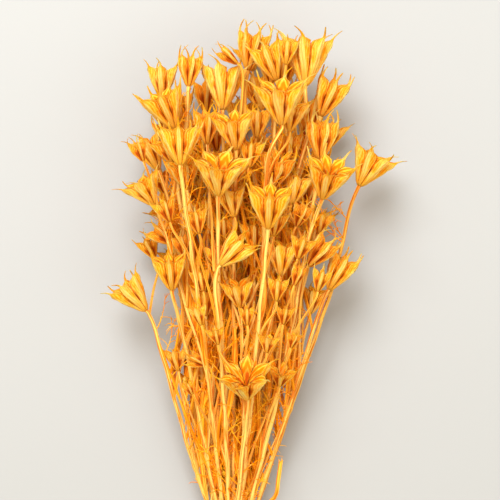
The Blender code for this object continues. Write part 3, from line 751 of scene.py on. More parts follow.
def tinted(mesh, value):
    """Give every point of a mesh the same tint, which the materials read."""
    tint = mesh.attributes.new("tint", "FLOAT", "POINT")
    tint.data.foreach_set("value", np.full(len(mesh.vertices), value, dtype=np.float32))


def in_scene(name, data):
    """A new object in the scene."""
    made = bpy.data.objects.new(name, data)
    bpy.context.scene.collection.objects.link(made)
    return made


def direction(vector):
    """The same way, one long."""
    return vector / np.linalg.norm(vector)


def run_along(points):
    """Distance from the first of a row of points to each of them."""
    steps = np.linalg.norm(np.diff(points, axis=0), axis=1)
    return np.concatenate([[0], np.cumsum(steps)])


def pod_model():
    """A plain pod: the outline drawn out row by row, with its UV map.

    The map's first value goes once round the outline from the back, and the
    second runs from the foot to the tip of the beak.
    """
    bpy.ops.object.select_all(action="DESELECT")
    bpy.ops.mesh.primitive_circle_add(vertices=len(OUTLINE), radius=1, fill_type="NGON")
    pod = bpy.context.object
    bpy.ops.object.mode_set(mode="EDIT")
    for low, high in zip(ROWS, ROWS[1:]):
        step = {"value": (0, 0, high - low)}
        bpy.ops.mesh.extrude_region_move(TRANSFORM_OT_translate=step)
    bpy.ops.mesh.select_all(action="SELECT")
    bpy.ops.mesh.normals_make_consistent(inside=False)
    bpy.ops.object.mode_set(mode="OBJECT")
    mesh = pod.data
    uv = mesh.uv_layers.new(name="pod").data
    for polygon in mesh.polygons:
        rounds = []
        for index in polygon.vertices:
            x, y, _ = mesh.vertices[index].co
            rounds.append((math.atan2(x, y) / math.tau) % 1.0)
        wrap = max(rounds) > 0.75 and len(rounds) == 4
        for loop, turn in zip(polygon.loop_indices, rounds):
            height = mesh.vertices[mesh.loops[loop].vertex_index].co.z
            turn = turn + 1 if wrap and turn < 0.25 else turn
            uv[loop].uv = (turn, height)
    mesh.polygons.foreach_set("use_smooth", [True] * len(mesh.polygons))
    return pod


def pod_shares(mesh):
    """Place in the outline, and share of the length, of each point of the model."""
    points = np.empty(len(mesh.vertices) * 3, dtype=np.float32)
    mesh.vertices.foreach_get("co", points)
    points = points.reshape(-1, 3).astype(float)
    turn = np.arctan2(points[:, 0], points[:, 1]) / math.tau
    corner = np.rint(turn * len(OUTLINE)).astype(int) % len(OUTLINE)
    return corner, points[:, 2]


def pod_points(head, foot, pod, out_way, across, shares):
    """Points of one pod of a head, in the layout's millimetres."""
    corner, height = shares
    outline = np.array(OUTLINE)[corner]
    size, openness = pod_size(head, pod)
    over_cup = np.clip((height - CUP_RIM_HEIGHT) / 0.3, 0, 1)
    stray = POD_STRAY * unevenness(head, pod + 40) * over_cup
    back = along_pod(height, "back") + along_pod(height, "back_open") * (openness + stray)
    edge = along_pod(height, "edge") + along_pod(height, "edge_open") * (openness + stray)
    half_width = along_pod(height, "half_width")
    under_beak = height < BEAK_ROOT.height
    half_width = half_width * (1 + WIDTH_UNEVENNESS * unevenness(head, pod + 17) * under_beak)
    middle = (back + edge) / 2
    depth = (back - edge) / 2

    slit = eased(np.clip(height, SLIT_OPENS[0], SLIT_OPENS[-1]), SLIT_OPENS, SLIT_VALUES)
    shut, more, uneven = GAPE
    gape = shut + more * openness + uneven * unevenness(head, pod + 19)
    gape = slit * np.clip(gape, LEAST_GAPE, 1)
    wide = WIDE_GAPE * np.clip((openness - WIDE_FROM[0]) / WIDE_FROM[1], 0, 1) * gape
    out = outline[:, 1] + outline[:, 3] * gape
    radial = middle + depth * out
    lateral = (outline[:, 0] + outline[:, 2] * gape) * half_width + outline[:, 2] * wide

    papery = np.clip((height - 0.15) / 0.3, 0, 1) * np.clip((0.75 - height) / 0.08, 0, 1)
    phase = 5 * unevenness(head, pod + 11)
    lateral *= 1 + CRUMPLE * papery * np.sin(23 * height + 2.1 * corner + phase)
    radial += CRUMPLE * CRUMPLE_DEPTH * papery * np.sin(19 * height - 1.7 * corner + phase)
    free = np.clip((height - CUP_RIM_HEIGHT) / 0.25, 0, 1)
    lateral += POD_TWIST * unevenness(head, pod + 27) * free * (radial - middle)

    in_cup = np.clip((CUP_RIM_HEIGHT + 0.12 - height) / 0.12, 0, 1) * np.clip(1.1 - out, 0, 1)
    crowding = CUP_CROWDING - POD_CROWDING - FREE_CROWDING
    crowding = POD_CROWDING + FREE_CROWDING + crowding * in_cup
    room = crowding * np.maximum(radial, 0) * math.tan(math.pi / head.pods)
    lateral = np.clip(lateral, -room, room)

    above = np.maximum(height - BEAK_ROOT.height, 0) / (1 - BEAK_ROOT.height)
    height = height - above * BEAK_UNEVENNESS * (1 + unevenness(head, pod + 5))
    beak = above ** 2
    radial = radial + BEAK_CURL * unevenness(head, pod + 14) * beak
    lateral = lateral + (BEAK_SWAY + BEAK_CURL) * unevenness(head, pod + 6) * beak
    return (foot + np.outer(size * height, heading(head)) + np.outer(size * radial, out_way)
            + np.outer(size * lateral, across))


def head_pods(head, foot, model, shares, skin):
    """The pods of one seed head, each a copy of the model with its own shape."""
    pods = []
    for pod, out_way, across in pod_directions(head):
        mesh = model.data.copy()
        points = pod_points(head, foot, pod, out_way, across, shares)
        points[:, 2] = np.maximum(points[:, 2], LEAST_HEIGHT)
        set_points(mesh, in_frame(points))
        tinted(mesh, 0.5 + 0.35 * unevenness(head, 21) + 0.15 * unevenness(head, pod + 30))
        mesh.materials.append(skin)
        pods.append(in_scene("pod", mesh))
    return pods


def section_curve(name, points):
    """A closed, flat curve through points that are given in millimetres."""
    curve = bpy.data.curves.new(name, "CURVE")
    curve.dimensions = "2D"
    spline = curve.splines.new("POLY")
    spline.points.add(len(points) - 1)
    spline.use_cyclic_u = True
    for point, (x, y) in zip(spline.points, points):
        point.co = (x * MM, y * MM, 0, 1)
    return in_scene(name, curve)


def stalk_profile(ribs):
    """The ribbed section of a dry stalk, with a radius of 1."""
    points = []
    for index in range(2 * ribs):
        angle = math.tau * index / (2 * ribs)
        radius = 1 - RIB_DEPTH * (index % 2)
        points.append((radius * math.cos(angle), radius * math.sin(angle)))
    return section_curve("stalk_profile", points)


def strip_profile():
    """The section of a dry, creased strip."""
    points = [(STRIP_HALF_WIDTH * side, STRIP_HALF_WIDTH * out) for side, out in STRIP_EDGE]
    return section_curve("strip_profile", points)


def stalk_line(route, phase):
    """Smooth points along a stalk, with a slight natural waviness."""
    points = rounded(route, 2)
    for _ in range(SMOOTHING):
        points[1:-2] += 0.5 * (0.5 * (points[:-3] + points[2:-1]) - points[1:-2])
    run = run_along(points)
    fade = np.clip(run / WAVE_RUN, 0, 1) * np.clip((run[-1] - run) / WAVE_RUN, 0, 1)
    points[:, 0] += WAVE * fade * np.sin(run / 7.1 + phase)
    points[:, 2] += WAVE * fade * np.cos(run / 8.7 + 2 * phase)
    return points, run


def stalk_radii(run, base, head, forks, is_branch):
    """Thickness along a stalk: it tapers, and swells at forks and its head."""
    share = run / run[-1]
    radii = base * (1 + TAPER * (0.5 - share))
    collar = np.clip(1 - (run[-1] - run) / COLLAR_RUN, 0, 1) ** 2
    radii = radii * (1 - collar) + head.length * COLLAR * collar
    for fork in forks:
        radii *= 1 + (KNUCKLE - 1) * np.exp(-((run - fork) / (KNUCKLE_LENGTH / 2)) ** 2)
    if is_branch:
        radii *= 1 + BRANCH_FOOT * np.exp(-run / 4)
    return radii


def add_line(curve, points, radii):
    """Add straight runs through the layout's points to a curve."""
    spline = curve.splines.new("POLY")
    spline.points.add(len(points) - 1)
    for point, place, radius in zip(spline.points, in_frame(points), radii):
        point.co = (*place, 1)
        point.radius = radius


def open_curve(name):
    """An empty curve in space, whose splines get closed ends."""
    curve = bpy.data.curves.new(name, "CURVE")
    curve.dimensions = "3D"
    curve.use_fill_caps = True
    return curve


def ribbed_curve(profile):
    """An empty curve whose splines get the given section."""
    curve = open_curve("stalk")
    curve.bevel_mode = "OBJECT"
    curve.bevel_object = profile
    return curve


def meshed(name, curve, merge):
    """A closed mesh object made of a curve."""
    alone(in_scene(name, curve))
    bpy.ops.object.convert(target="MESH")
    bpy.ops.object.mode_set(mode="EDIT")
    bpy.ops.mesh.select_all(action="SELECT")
    bpy.ops.mesh.remove_doubles(threshold=merge)
    bpy.ops.mesh.normals_make_consistent(inside=False)
    bpy.ops.object.mode_set(mode="OBJECT")
    return bpy.context.object


def ribbed_mesh(curve, skin, tint):
    """A smooth mesh object made of a ribbed curve, with its skin."""
    stalk = meshed("stalk", curve, STALK_MERGE)
    bpy.ops.object.shade_smooth_by_angle(angle=STALK_SMOOTHNESS)
    stalk.data.uv_layers[0].name = "stalk"
    tinted(stalk.data, tint)
    stalk.data.materials.clear()
    stalk.data.materials.append(skin)
    return stalk


def round_mesh(name, lines, thickness, sides, skin):
    """A smooth mesh object of round threads; thickness is a radius in metres."""
    curve = open_curve(name)
    curve.bevel_depth = thickness
    curve.bevel_resolution = sides
    for points, radii in lines:
        add_line(curve, points, radii)
    threads = meshed(name, curve, THREAD_MERGE)
    bpy.ops.object.shade_smooth()
    threads.data.materials.append(skin)
    return threads


def members_of(stem):
    """Places of a stem's heads among all heads, its main head first."""
    return [index for index, head in enumerate(HEADS) if head.stem == stem]


def stem_stalks(stem, feet, routes, profile, skin):
    """The stalk of one stem and its branches, as one ribbed mesh."""
    curve = ribbed_curve(profile)
    members = members_of(stem)
    fork_points = [routes[index][0] for index in members[1:]]
    for order, index in enumerate(members):
        head = HEADS[index]
        points, run = stalk_line(routes[index], 1.3 * index)
        forks = []
        if order == 0:
            for fork in fork_points:
                nearest = np.linalg.norm(points - fork, axis=1).argmin()
                forks.append(run[nearest])
        base = BRANCH_RADIUS if order else STEM_RADIUS
        add_line(curve, points, stalk_radii(run, base, head, forks, order > 0))
    height = feet[members[0], 2]
    # Stalks are paler the higher their stem's head lies above the floor, on top of a tone that
    # differs from stem to stem
    pale = np.clip((height - PALE_HEIGHTS[0]) / (PALE_HEIGHTS[1] - PALE_HEIGHTS[0]), 0, 1)
    return ribbed_mesh(curve, skin, 0.22 * (1 + math.sin(2.7 * stem)) + 0.6 * pale)


def broken_branch(main, profile, skin):
    """The branch that broke off one stem, with splinters at its end."""
    curve = ribbed_curve(profile)
    start = main[np.abs(main[:, 1] - STUB_FORK_Y).argmin()]
    points = rounded(np.vstack([start, STUB_ROUTE]), 4)
    radii = np.linspace(STEM_RADIUS, STUB_RADIUS, len(points))
    add_line(curve, points, radii)
    for splinter in SPLINTERS:
        base = points[-1] + np.array([0.7 * splinter[0], -1.0, 0.7 * splinter[2]])
        ends = np.array([base, base + 0.5 * np.array(splinter), base + splinter])
        add_line(curve, ends, np.linspace(*SPLINTER_RADII, 3))
    return ribbed_mesh(curve, skin, STUB_TINT)


class Shader:
    """Short ways to build a material's nodes."""

    def __init__(self, name):
        self.material = bpy.data.materials.new(name)
        self.material.use_nodes = True
        self.tree = self.material.node_tree
        self.surface = self.tree.nodes["Principled BSDF"]

    def node(self, kind, links=(), **settings):
        """A new node with its settings and inputs."""
        made = self.tree.nodes.new(kind)
        for key, value in settings.items():
            setattr(made, key, value)
        for socket, source in dict(links).items():
            self.put(made.inputs[socket], source)
        return made

    def put(self, socket, source):
        """Link an input to an output, or give it a value of its own."""
        if isinstance(source, bpy.types.NodeSocket):
            self.tree.links.new(source, socket)
        else:
            socket.default_value = source

    def place(self):
        """Where a point is on the whole object."""
        return self.node("ShaderNodeTexCoord").outputs["Object"]

    def tint(self):
        """The tint that the mesh carries."""
        return self.node("ShaderNodeAttribute", attribute_name="tint").outputs["Fac"]

    def split(self, vector):
        """The parts of a vector, by their names."""
        return self.node("ShaderNodeSeparateXYZ", {0: vector}).outputs

    def math(self, operation, first, second=0.0):
        """One step of arithmetic."""
        return self.node("ShaderNodeMath", {0: first, 1: second}, operation=operation).outputs[0]

    def times(self, first, second):
        """Two values multiplied."""
        return self.math("MULTIPLY", first, second)

    def ramp(self, value, low, high):
        """0 below low and 1 above high, with soft ends."""
        links = {"Value": value, "From Min": low, "From Max": high}
        return self.node("ShaderNodeMapRange", links, interpolation_type="SMOOTHSTEP").outputs[0]

    def mix(self, share, first, second):
        """A share of the second colour over the first."""
        made = self.node("ShaderNodeMix", data_type="RGBA")
        self.put(made.inputs[0], share)
        self.put(made.inputs[6], first)
        self.put(made.inputs[7], second)
        return made.outputs[2]

    def noise(self, where, scale, detail):
        """Soft irregular patches."""
        links = {"Vector": where, "Scale": scale, "Detail": detail}
        return self.node("ShaderNodeTexNoise", links).outputs["Fac"]

    def streaks(self, detail, *sides):
        """Irregular streaks, stretched by a scale for each of three values."""
        links = {axis: self.times(value, scale) for axis, (value, scale) in zip("XYZ", sides)}
        return self.noise(self.node("ShaderNodeCombineXYZ", links).outputs[0], 1.0, detail)

    def finish(self, body, roughness, gloss):
        """Give the surface its colour, and even roughness and gloss."""
        self.put(self.surface.inputs["Base Color"], body)
        self.surface.inputs["Roughness"].default_value = roughness
        self.surface.inputs["Specular IOR Level"].default_value = gloss

    def bump(self, height, distance, strength):
        """Low relief on the surface."""
        links = {"Height": height, "Distance": distance, "Strength": strength}
        made = self.node("ShaderNodeBump", links)
        self.put(self.surface.inputs["Normal"], made.outputs["Normal"])


def rgba(colour):
    """A colour as a socket takes it."""
    return (*colour, 1.0)


def pod_skin(colours):
    """Papery pod: pale double rib, fine veins, painted shade in the gaps, slits, groove and furrows,
    and a painted highlight toward the top.
    """
    skin = Shader("pod_skin")
    times, ramp, mix = skin.times, skin.ramp, skin.mix
    deep, bright, light = rgba(colours.pod_deep), rgba(colours.pod_bright), rgba(colours.pod_light)
    # inside is the dark red-brown of the painted shade in the gaps and the slits
    pale, straw, inside = rgba(colours.rib), rgba(colours.straw), rgba(colours.inside)
    parts = skin.split(skin.node("ShaderNodeUVMap", uv_map="pod").outputs[0])
    height = parts["Y"]
    turn = skin.math("FRACT", parts["X"])
    from_back = skin.math("SUBTRACT", 0.5, skin.math("ABSOLUTE", skin.math("SUBTRACT", turn, 0.5)))
    where = skin.place()
    tint = skin.tint()
    patches = skin.noise(where, PATCH_SCALE, 4.0)
    mottle = skin.noise(where, SPECK_SCALE, 3.0)

    # Pale veins that run up the pod at a slant, and wander a little, with painted shade in the
    # furrows between them
    streaks = skin.streaks(2.0, (from_back, 60.0), (height, 6.0), (tint, 40.0))
    wander = times(skin.math("SUBTRACT", streaks, 0.5), VEIN_WANDER)
    slanted = skin.math("ADD", times(from_back, VEINS_ROUND), times(height, -VEINS_ALONG))
    lines = skin.math("SINE", skin.math("ADD", slanted, wander))
    veins = ramp(lines, 0.0, 0.8)
    painted_furrow_shade = ramp(lines, -0.2, -0.8)

    # The dye: uneven, and hardly any at the foot; toward the top of each pod a painted highlight
    warm = ramp(skin.math("ADD", patches, times(tint, 0.40)), 0.50, 0.84)
    body = mix(warm, deep, bright)
    # Painted highlight: the upper part of each pod is made paler, in mottled patches
    painted_top_highlight = times(ramp(height, 0.30, 0.62), ramp(mottle, 0.40, 0.60))
    body = mix(times(painted_top_highlight, 0.70), body, light)
    undyed = times(ramp(height, 0.44, 0.06), ramp(streaks, 0.30, 0.62))
    body = mix(times(undyed, 0.8), body, straw)
    faded = times(ramp(tint, 0.55, 0.90), ramp(patches, 0.44, 0.60))
    body = mix(times(faded, 0.55), body, pale)

    # The veins and the painted shade of their furrows show most on the flanks, near the slit
    near_slit = times(ramp(from_back, 0.17, 0.30), ramp(height, 0.34, 0.56))
    on_flank = skin.math("ADD", 0.45, times(near_slit, 0.55))
    body = mix(times(times(veins, on_flank), 0.85), body, mix(streaks, light, pale))
    # Painted shade: the furrows between the veins are darkened
    body = mix(times(times(painted_furrow_shade, on_flank), 0.95), body, rgba(colours.furrow))

    # Painted shade in the gaps beside the fused pods, the pale double rib with painted shade in its
    # groove, the slit's lips, and painted shade deep in the slit
    # Painted shade: the flanks beside the fused pods, low on the head, are painted dark red-brown
    painted_gap_shade = times(ramp(from_back, 0.155, 0.205), ramp(height, 0.52, 0.34))
    body = mix(times(painted_gap_shade, 0.95), body, inside)
    rib = times(ramp(from_back, 0.120, 0.080), ramp(height, 0.80, 0.66))
    body = mix(times(rib, 0.90), body, mix(ramp(height, 0.10, 0.42), straw, pale))
    # Painted shade: the groove down the middle of the back is darkened to the deep orange
    body = mix(times(ramp(from_back, 0.024, 0.008), 0.40), body, deep)
    slit = times(ramp(from_back, 0.395, 0.43), ramp(height, 0.76, 0.66))
    body = mix(times(slit, 0.9), body, mix(veins, deep, light))
    # Painted shade: deep inside the slit the pod is painted dark red-brown
    painted_slit_shade = times(ramp(from_back, 0.455, 0.49), ramp(height, 0.62, 0.44))
    body = mix(times(painted_slit_shade, 0.9), body, inside)
    beak_light = mix(ramp(patches, 0.42, 0.66), rgba(colours.beak), pale)
    body = mix(times(ramp(height, 0.72, 0.78), 0.85), body, beak_light)

    skin.finish(body, 0.70, 0.06)
    skin.surface.inputs["Subsurface Weight"].default_value = 0.25
    skin.surface.inputs["Subsurface Radius"].default_value = (0.0040, 0.0016, 0.0004)
    skin.surface.inputs["Subsurface Scale"].default_value = 1.0
    skin.bump(skin.math("ADD", times(veins, 0.7), times(mottle, 0.4)), 0.0004, 0.9)
    return skin.material


def stalk_skin(colours):
    """Dry straw stalk with fine fibres along it and orange stains."""
    skin = Shader("stalk_skin")
    times, ramp, mix = skin.times, skin.ramp, skin.mix
    dyed = rgba(colours.stalk_orange)
    where = skin.place()
    tint = skin.tint()
    stains = skin.noise(where, 45.0, 4.0)
    specks = skin.noise(where, SPECK_SCALE, 2.0)
    around = skin.split(skin.node("ShaderNodeUVMap", uv_map="stalk").outputs[0])["Y"]
    along = skin.split(where)["Y"]
    fibres = skin.streaks(3.0, (around, 7.0), (along, 30.0), (tint, 60.0))
    body = mix(ramp(tint, 0.0, 0.75), dyed, rgba(colours.stalk))
    body = mix(times(ramp(stains, 0.50, 0.74), 0.6), body, dyed)
    fibre_light = mix(tint, rgba(colours.pod_light), rgba(colours.rib))
    body = mix(times(ramp(fibres, 0.50, 0.58), 0.85), body, fibre_light)
    body = mix(times(ramp(fibres, 0.48, 0.42), 0.85), body, rgba(colours.furrow))
    body = mix(times(ramp(specks, 0.66, 0.74), 0.5), body, rgba(colours.inside))
    skin.finish(body, 0.65, 0.10)
    skin.bump(fibres, 0.0003, 0.7)
    return skin.material


def thread_skin(colours):
    """Dry thread, dyed in lighter and darker stretches."""
    skin = Shader("thread_skin")
    where = skin.place()
    patches = skin.ramp(skin.noise(where, 60.0, 3.0), 0.40, 0.66)
    bits = skin.ramp(skin.noise(where, 300.0, 2.0), 0.54, 0.70)
    body = skin.mix(patches, rgba(colours.thread), rgba(colours.thread_light))
    body = skin.mix(skin.times(bits, 0.6), body, rgba(colours.rib))
    skin.finish(body, 0.75, 0.05)
    return skin.material


def twine_skin(colours):
    """Rough jute with light hairs."""
    skin = Shader("twine_skin")
    where = skin.place()
    hairs = skin.noise(where, 2200.0, 3.0)
    patches = skin.noise(where, 250.0, 3.0)
    light = tuple(min(1.0, 1.5 * value) for value in colours.twine)
    dark = tuple(0.5 * value for value in colours.twine)
    body = skin.mix(skin.ramp(patches, 0.3, 0.7), rgba(dark), rgba(colours.twine))
    body = skin.mix(skin.times(skin.ramp(hairs, 0.5, 0.7), 0.6), body, rgba(light))
    skin.finish(body, 0.9, 0.5)
    skin.bump(hairs, 0.0003, 0.8)
    return skin.material


def floor_paint(colours):
    """Plain floor with faint clouds."""
    paint = Shader("floor_paint")
    clouds = paint.noise(paint.place(), 3.0, 2.0)
    shade = tuple(FLOOR_SHADE * value for value in colours.floor)
    paint.finish(paint.mix(clouds, rgba(colours.floor), rgba(shade)), 0.9, 0.5)
    return paint.material


def any_way(draw):
    """A random vector."""
    return np.array([draw.uniform(-1, 1) for _ in range(3)])


def thread_route(start, way, length, count, curl, draw):
    """A dry thread: it sets off one way and curls as it goes."""
    points = [np.array(start)]
    way = np.array(way, float)
    turn = any_way(draw)
    step = length / (count - 1)
    for _ in range(count - 1):
        turn += THREAD_TURN * any_way(draw)
        way = direction(way + curl * turn)
        place = points[-1] + way * step
        place[2] = max(place[2], GROUND_GAP)
        points.append(place)
    return np.array(points)


def thread_leaf(start, way, length, draw):
    """A leaf cut into threads: its own stalk, and curled threads along it."""
    spine = thread_route(start, way, length, LEAF_POINTS, draw.uniform(*LEAF_CURL), draw)
    lines = [(spine, np.linspace(1.3, 0.6, len(spine)))]
    for spot in range(2, LEAF_POINTS - 1):
        along = direction(spine[spot] - spine[spot - 1])
        aside = any_way(draw)
        aside -= along * aside.dot(along)
        way = direction(along + aside * draw.uniform(*THREAD_SLANT))
        size = draw.uniform(*THREAD_LENGTH)
        curl = draw.uniform(*THREAD_CURL)
        thread = thread_route(spine[spot], way, size, THREAD_POINTS, curl, draw)
        lines.append((thread, np.linspace(1.0, 0.5, len(thread))))
    return lines


def on_stalk(route, y):
    """The point of a stalk at a place along the bunch, or None past its end."""
    if not route[0, 1] < y < route[-1, 1]:
        return None
    return np.array([np.interp(y, route[:, 1], route[:, 0]), y,
                     np.interp(y, route[:, 1], route[:, 2])])


def between_stalks(routes, lowest, highest, reach, slope, draw):
    """Two points on different stalks, the second further along the bunch.

    The line between them runs along the bunch, or aside by no more than slope.
    """
    while True:
        first, second = draw.sample(range(len(routes)), 2)
        y = draw.uniform(lowest, highest)
        start = on_stalk(routes[first], y)
        end = on_stalk(routes[second], y + draw.uniform(*reach))
        if start is None or end is None:
            continue
        way = end - start
        if math.hypot(way[0], way[2]) < slope * way[1]:
            return start, end


def loose_leaves(routes, draw):
    """Single curled threads that stand out of the bunch a little."""
    leaves = []
    for route in routes:
        smooth = rounded(route, 2)
        spot = draw.randint(1, len(smooth) - 5)
        start = smooth[spot]
        along = direction(smooth[spot + 1] - start)
        aside = np.array([draw.uniform(-1, 1), 0.0, draw.uniform(-0.7, 1)])
        way = direction(along * draw.uniform(*THREAD_SLANT) + aside)
        size = draw.uniform(*LOOSE_LENGTH)
        curl = draw.uniform(*LOOSE_CURL)
        thread = thread_route(start, way, size, THREAD_POINTS, curl, draw)
        if start[1] > LOWEST_LEAF_Y and draw.random() < LOOSE_LEAF_SHARE:
            leaves.append([(thread, np.linspace(1.1, 0.5, len(thread)))])
    return leaves


def inner_leaves(routes, count, reach, draw):
    """Leaves that run from one stalk to another, inside the bunch."""
    leaves = []
    for _ in range(count):
        start, end = between_stalks(routes, *reach, INNER_REACH, INNER_SLOPE, draw)
        way = end - start
        length = min(np.linalg.norm(way), draw.uniform(*INNER_LENGTH))
        leaves.append(thread_leaf(start, direction(way), length, draw))
    return leaves


def side_shoot(routes, draw):
    """One thin shoot: smooth points from a fork to its bare tip, and radii."""
    start, end = between_stalks(routes, *SHOOT_Y, SHOOT_REACH, SHOOT_SLOPE, draw)
    share = np.linspace(0, 1, SHOOT_POINTS)[:, None]
    points = start + (end - start) * share
    bow = np.array([draw.uniform(-SHOOT_BOW, SHOOT_BOW), 0, draw.uniform(-SHOOT_BOW, SHOOT_BOW)])
    points += bow * np.sin(math.pi * share) * (1 - 0.5 * share)
    points[:, 2] = np.maximum(points[:, 2], SHOOT_RADIUS + GROUND_GAP)
    foot = draw.uniform(*SHOOT_FOOT)
    tip = draw.uniform(*SHOOT_TIP)
    return points, SHOOT_RADIUS * np.linspace(foot, tip, SHOOT_POINTS)


def head_balls(head, foot):
    """Centres and radii of the balls that stand for a head."""
    centres = foot + np.outer(BALL_PLACES * head.length, heading(head))
    radii = np.array([shut + more * head.open for shut, more in BALL_RADII])
    return centres, radii * head.length


def small_heads():
    """The small heads as heads like the others, at a first height."""
    heads = []
    for row in SMALL_HEADS:
        openness, stray = SMALL_HEAD_OPEN
        openness += stray * math.sin(3.1 * row.x + 1.7 * row.y)
        heads.append(Head(0, row.x, row.y, 0, row.lean, SMALL_HEAD_RISE,
                          row.length, openness, row.pods))
    return heads


def small_feet(heads, feet, routes):
    """Where each small head sits: as high as it fits among stalks and heads."""
    taken = [head_balls(head, foot) for head, foot in zip(HEADS, feet)]
    for route in routes:
        line = rounded(route, 3)
        taken.append((line, np.full(len(line), BRANCH_RADIUS)))
    found = []
    for head in heads:
        centres = np.vstack([balls for balls, _ in taken])
        radii = np.concatenate([sizes for _, sizes in taken])
        best = -math.inf
        for height in np.arange(SMALL_HEAD_Z[1], SMALL_HEAD_Z[0], -SMALL_HEAD_STEP):
            for shift in SMALL_HEAD_SHIFTS:
                foot = np.array([head.x + shift, head.y, height])
                balls, sizes = head_balls(head, foot)
                apart = np.linalg.norm(balls[:, None] - centres[None], axis=2)
                room = (apart - sizes[:, None] - radii[None]).min()
                worth = min(room, 1.0) + HEIGHT_WORTH * height
                if worth > best:
                    best = worth
                    chosen = foot
        taken.append(head_balls(head, chosen))
        found.append(chosen)
    return found


def small_branch(head, foot, routes, draw):
    """The thin branch of a small head, from the stalk that is nearest to it."""
    y = foot[1] - draw.uniform(*SMALL_BRANCH_REACH)
    starts = [on_stalk(route, y) for route in routes]
    starts = [start for start in starts if start is not None]
    offs = [math.hypot(start[0] - foot[0], start[2] - foot[2]) for start in starts]
    start = starts[int(np.argmin(offs))]
    neck = foot - heading(head) * NECK
    middle = 0.5 * (start + neck) + SMALL_BRANCH_BOW * (start - foot) * np.array([1, 0, 1])
    route = np.array([start, middle, neck, foot + heading(head) * STALK_INTO_HEAD])
    return rounded(route, 5)


def dry_strips(routes, skin, draw):
    """The broad dry strips, as one object."""
    profile = strip_profile()
    parts = []
    for tint in STRIP_TINTS:
        curve = ribbed_curve(profile)
        curve.twist_mode = "Z_UP"
        for _ in range(STRIPS // len(STRIP_TINTS)):
            start, end = between_stalks(routes, *STRIP_Y, STRIP_REACH, STRIP_SLOPE, draw)
            share = np.linspace(0, 1, SHOOT_POINTS)
            points = start + (end - start) * share[:, None]
            bow = np.array([draw.uniform(-STRIP_BOW, STRIP_BOW), 0,
                            draw.uniform(-STRIP_BOW, STRIP_BOW)])
            points += bow * np.sin(math.pi * share)[:, None]
            points[:, 2] = np.maximum(points[:, 2], STRIP_HALF_WIDTH + GROUND_GAP)
            widths = STRIP_END + draw.uniform(*STRIP_MIDDLE) * np.sin(math.pi * share) ** 0.6
            add_line(curve, points, widths)
            turn = draw.uniform(-STRIP_TILT, STRIP_TILT)
            change = draw.uniform(-STRIP_TILT, STRIP_TILT)
            for point, at in zip(curve.splines[-1].points, share):
                point.tilt = turn + change * math.sin(4 * at)
        parts.append(ribbed_mesh(curve, skin, tint))
    bpy.data.objects.remove(profile)
    return joined(parts, "dry_strips")


class NigellaSizes(bpy.types.PropertyGroup):
    """Sizes and numbers that a user would change"""
    thread_radius: bpy.props.FloatProperty(
        name="Thread radius", description="Radius of the threads of a dry leaf",
        default=0.00040, unit="LENGTH")
    key_power: bpy.props.FloatProperty(
        name="Key light", description="Power of the lamp over the heads",
        default=31.0, unit="POWER")
    fill_power: bpy.props.FloatProperty(
        name="Fill light", description="Power of the lamp over the stalks",
        default=7.0, unit="POWER")
    room_light: bpy.props.FloatProperty(
        name="Room light", description="Strength of the soft light all round",
        default=0.80)


class NigellaColours(bpy.types.PropertyGroup):
    """Colours of the dyed bunch and its floor"""
    pod_bright: bpy.props.FloatVectorProperty(
        name="Pod, bright", description="Dyed pod where the dye is thin",
        default=(0.97, 0.41, 0.006), subtype="COLOR", size=3)
    # Also the colour of the painted highlight toward the top of each pod
    pod_light: bpy.props.FloatVectorProperty(
        name="Pod, light", description="Thin, pale patches near the top of a pod",
        default=(1.0, 0.52, 0.030), subtype="COLOR", size=3)
    pod_deep: bpy.props.FloatVectorProperty(
        name="Pod, deep", description="Dyed pod where the dye is strong",
        default=(0.90, 0.235, 0.001), subtype="COLOR", size=3)
    rib: bpy.props.FloatVectorProperty(
        name="Ribs", description="Pale ribs and veins",
        default=(1.0, 0.68, 0.17), subtype="COLOR", size=3)
    straw: bpy.props.FloatVectorProperty(
        name="Straw", description="Foot of a pod, hardly dyed",
        default=(0.95, 0.47, 0.050), subtype="COLOR", size=3)
    beak: bpy.props.FloatVectorProperty(
        name="Beak", description="Thin beaks at the tops of the pods",
        default=(0.96, 0.40, 0.010), subtype="COLOR", size=3)
    # On the pods this colour is painted shade in the furrows between the veins; on the stalks it
    # colours the dark fibres
    furrow: bpy.props.FloatVectorProperty(
        name="Furrows", description="Dark lines between the veins and the fibres",
        default=(0.74, 0.15, 0.001), subtype="COLOR", size=3)
    thread: bpy.props.FloatVectorProperty(
        name="Threads", description="Dry threads, strongly dyed",
        default=(1.0, 0.31, 0.001), subtype="COLOR", size=3)
    thread_light: bpy.props.FloatVectorProperty(
        name="Threads, light", description="Lighter stretches of the threads",
        default=(1.0, 0.52, 0.020), subtype="COLOR", size=3)
    # The dark red-brown of painted shade in the gaps between pods and deep in the slits; the stalks
    # also use it for their dark specks
    inside: bpy.props.FloatVectorProperty(
        name="Inside", description="Inner walls and gaps between pods",
        default=(0.42, 0.060, 0.001), subtype="COLOR", size=3)
    stalk: bpy.props.FloatVectorProperty(
        name="Stalk", description="Pale dry stalk",
        default=(0.93, 0.60, 0.14), subtype="COLOR", size=3)
    stalk_orange: bpy.props.FloatVectorProperty(
        name="Stalk, dyed", description="Stalk where it took the dye",
        default=(0.94, 0.33, 0.003), subtype="COLOR", size=3)
    twine: bpy.props.FloatVectorProperty(
        name="Twine", description="Jute twine of the tie",
        default=(0.40, 0.26, 0.12), subtype="COLOR", size=3)
    floor: bpy.props.FloatVectorProperty(
        name="Floor", description="Plain floor",
        default=(0.47, 0.485, 0.50), subtype="COLOR", size=3)


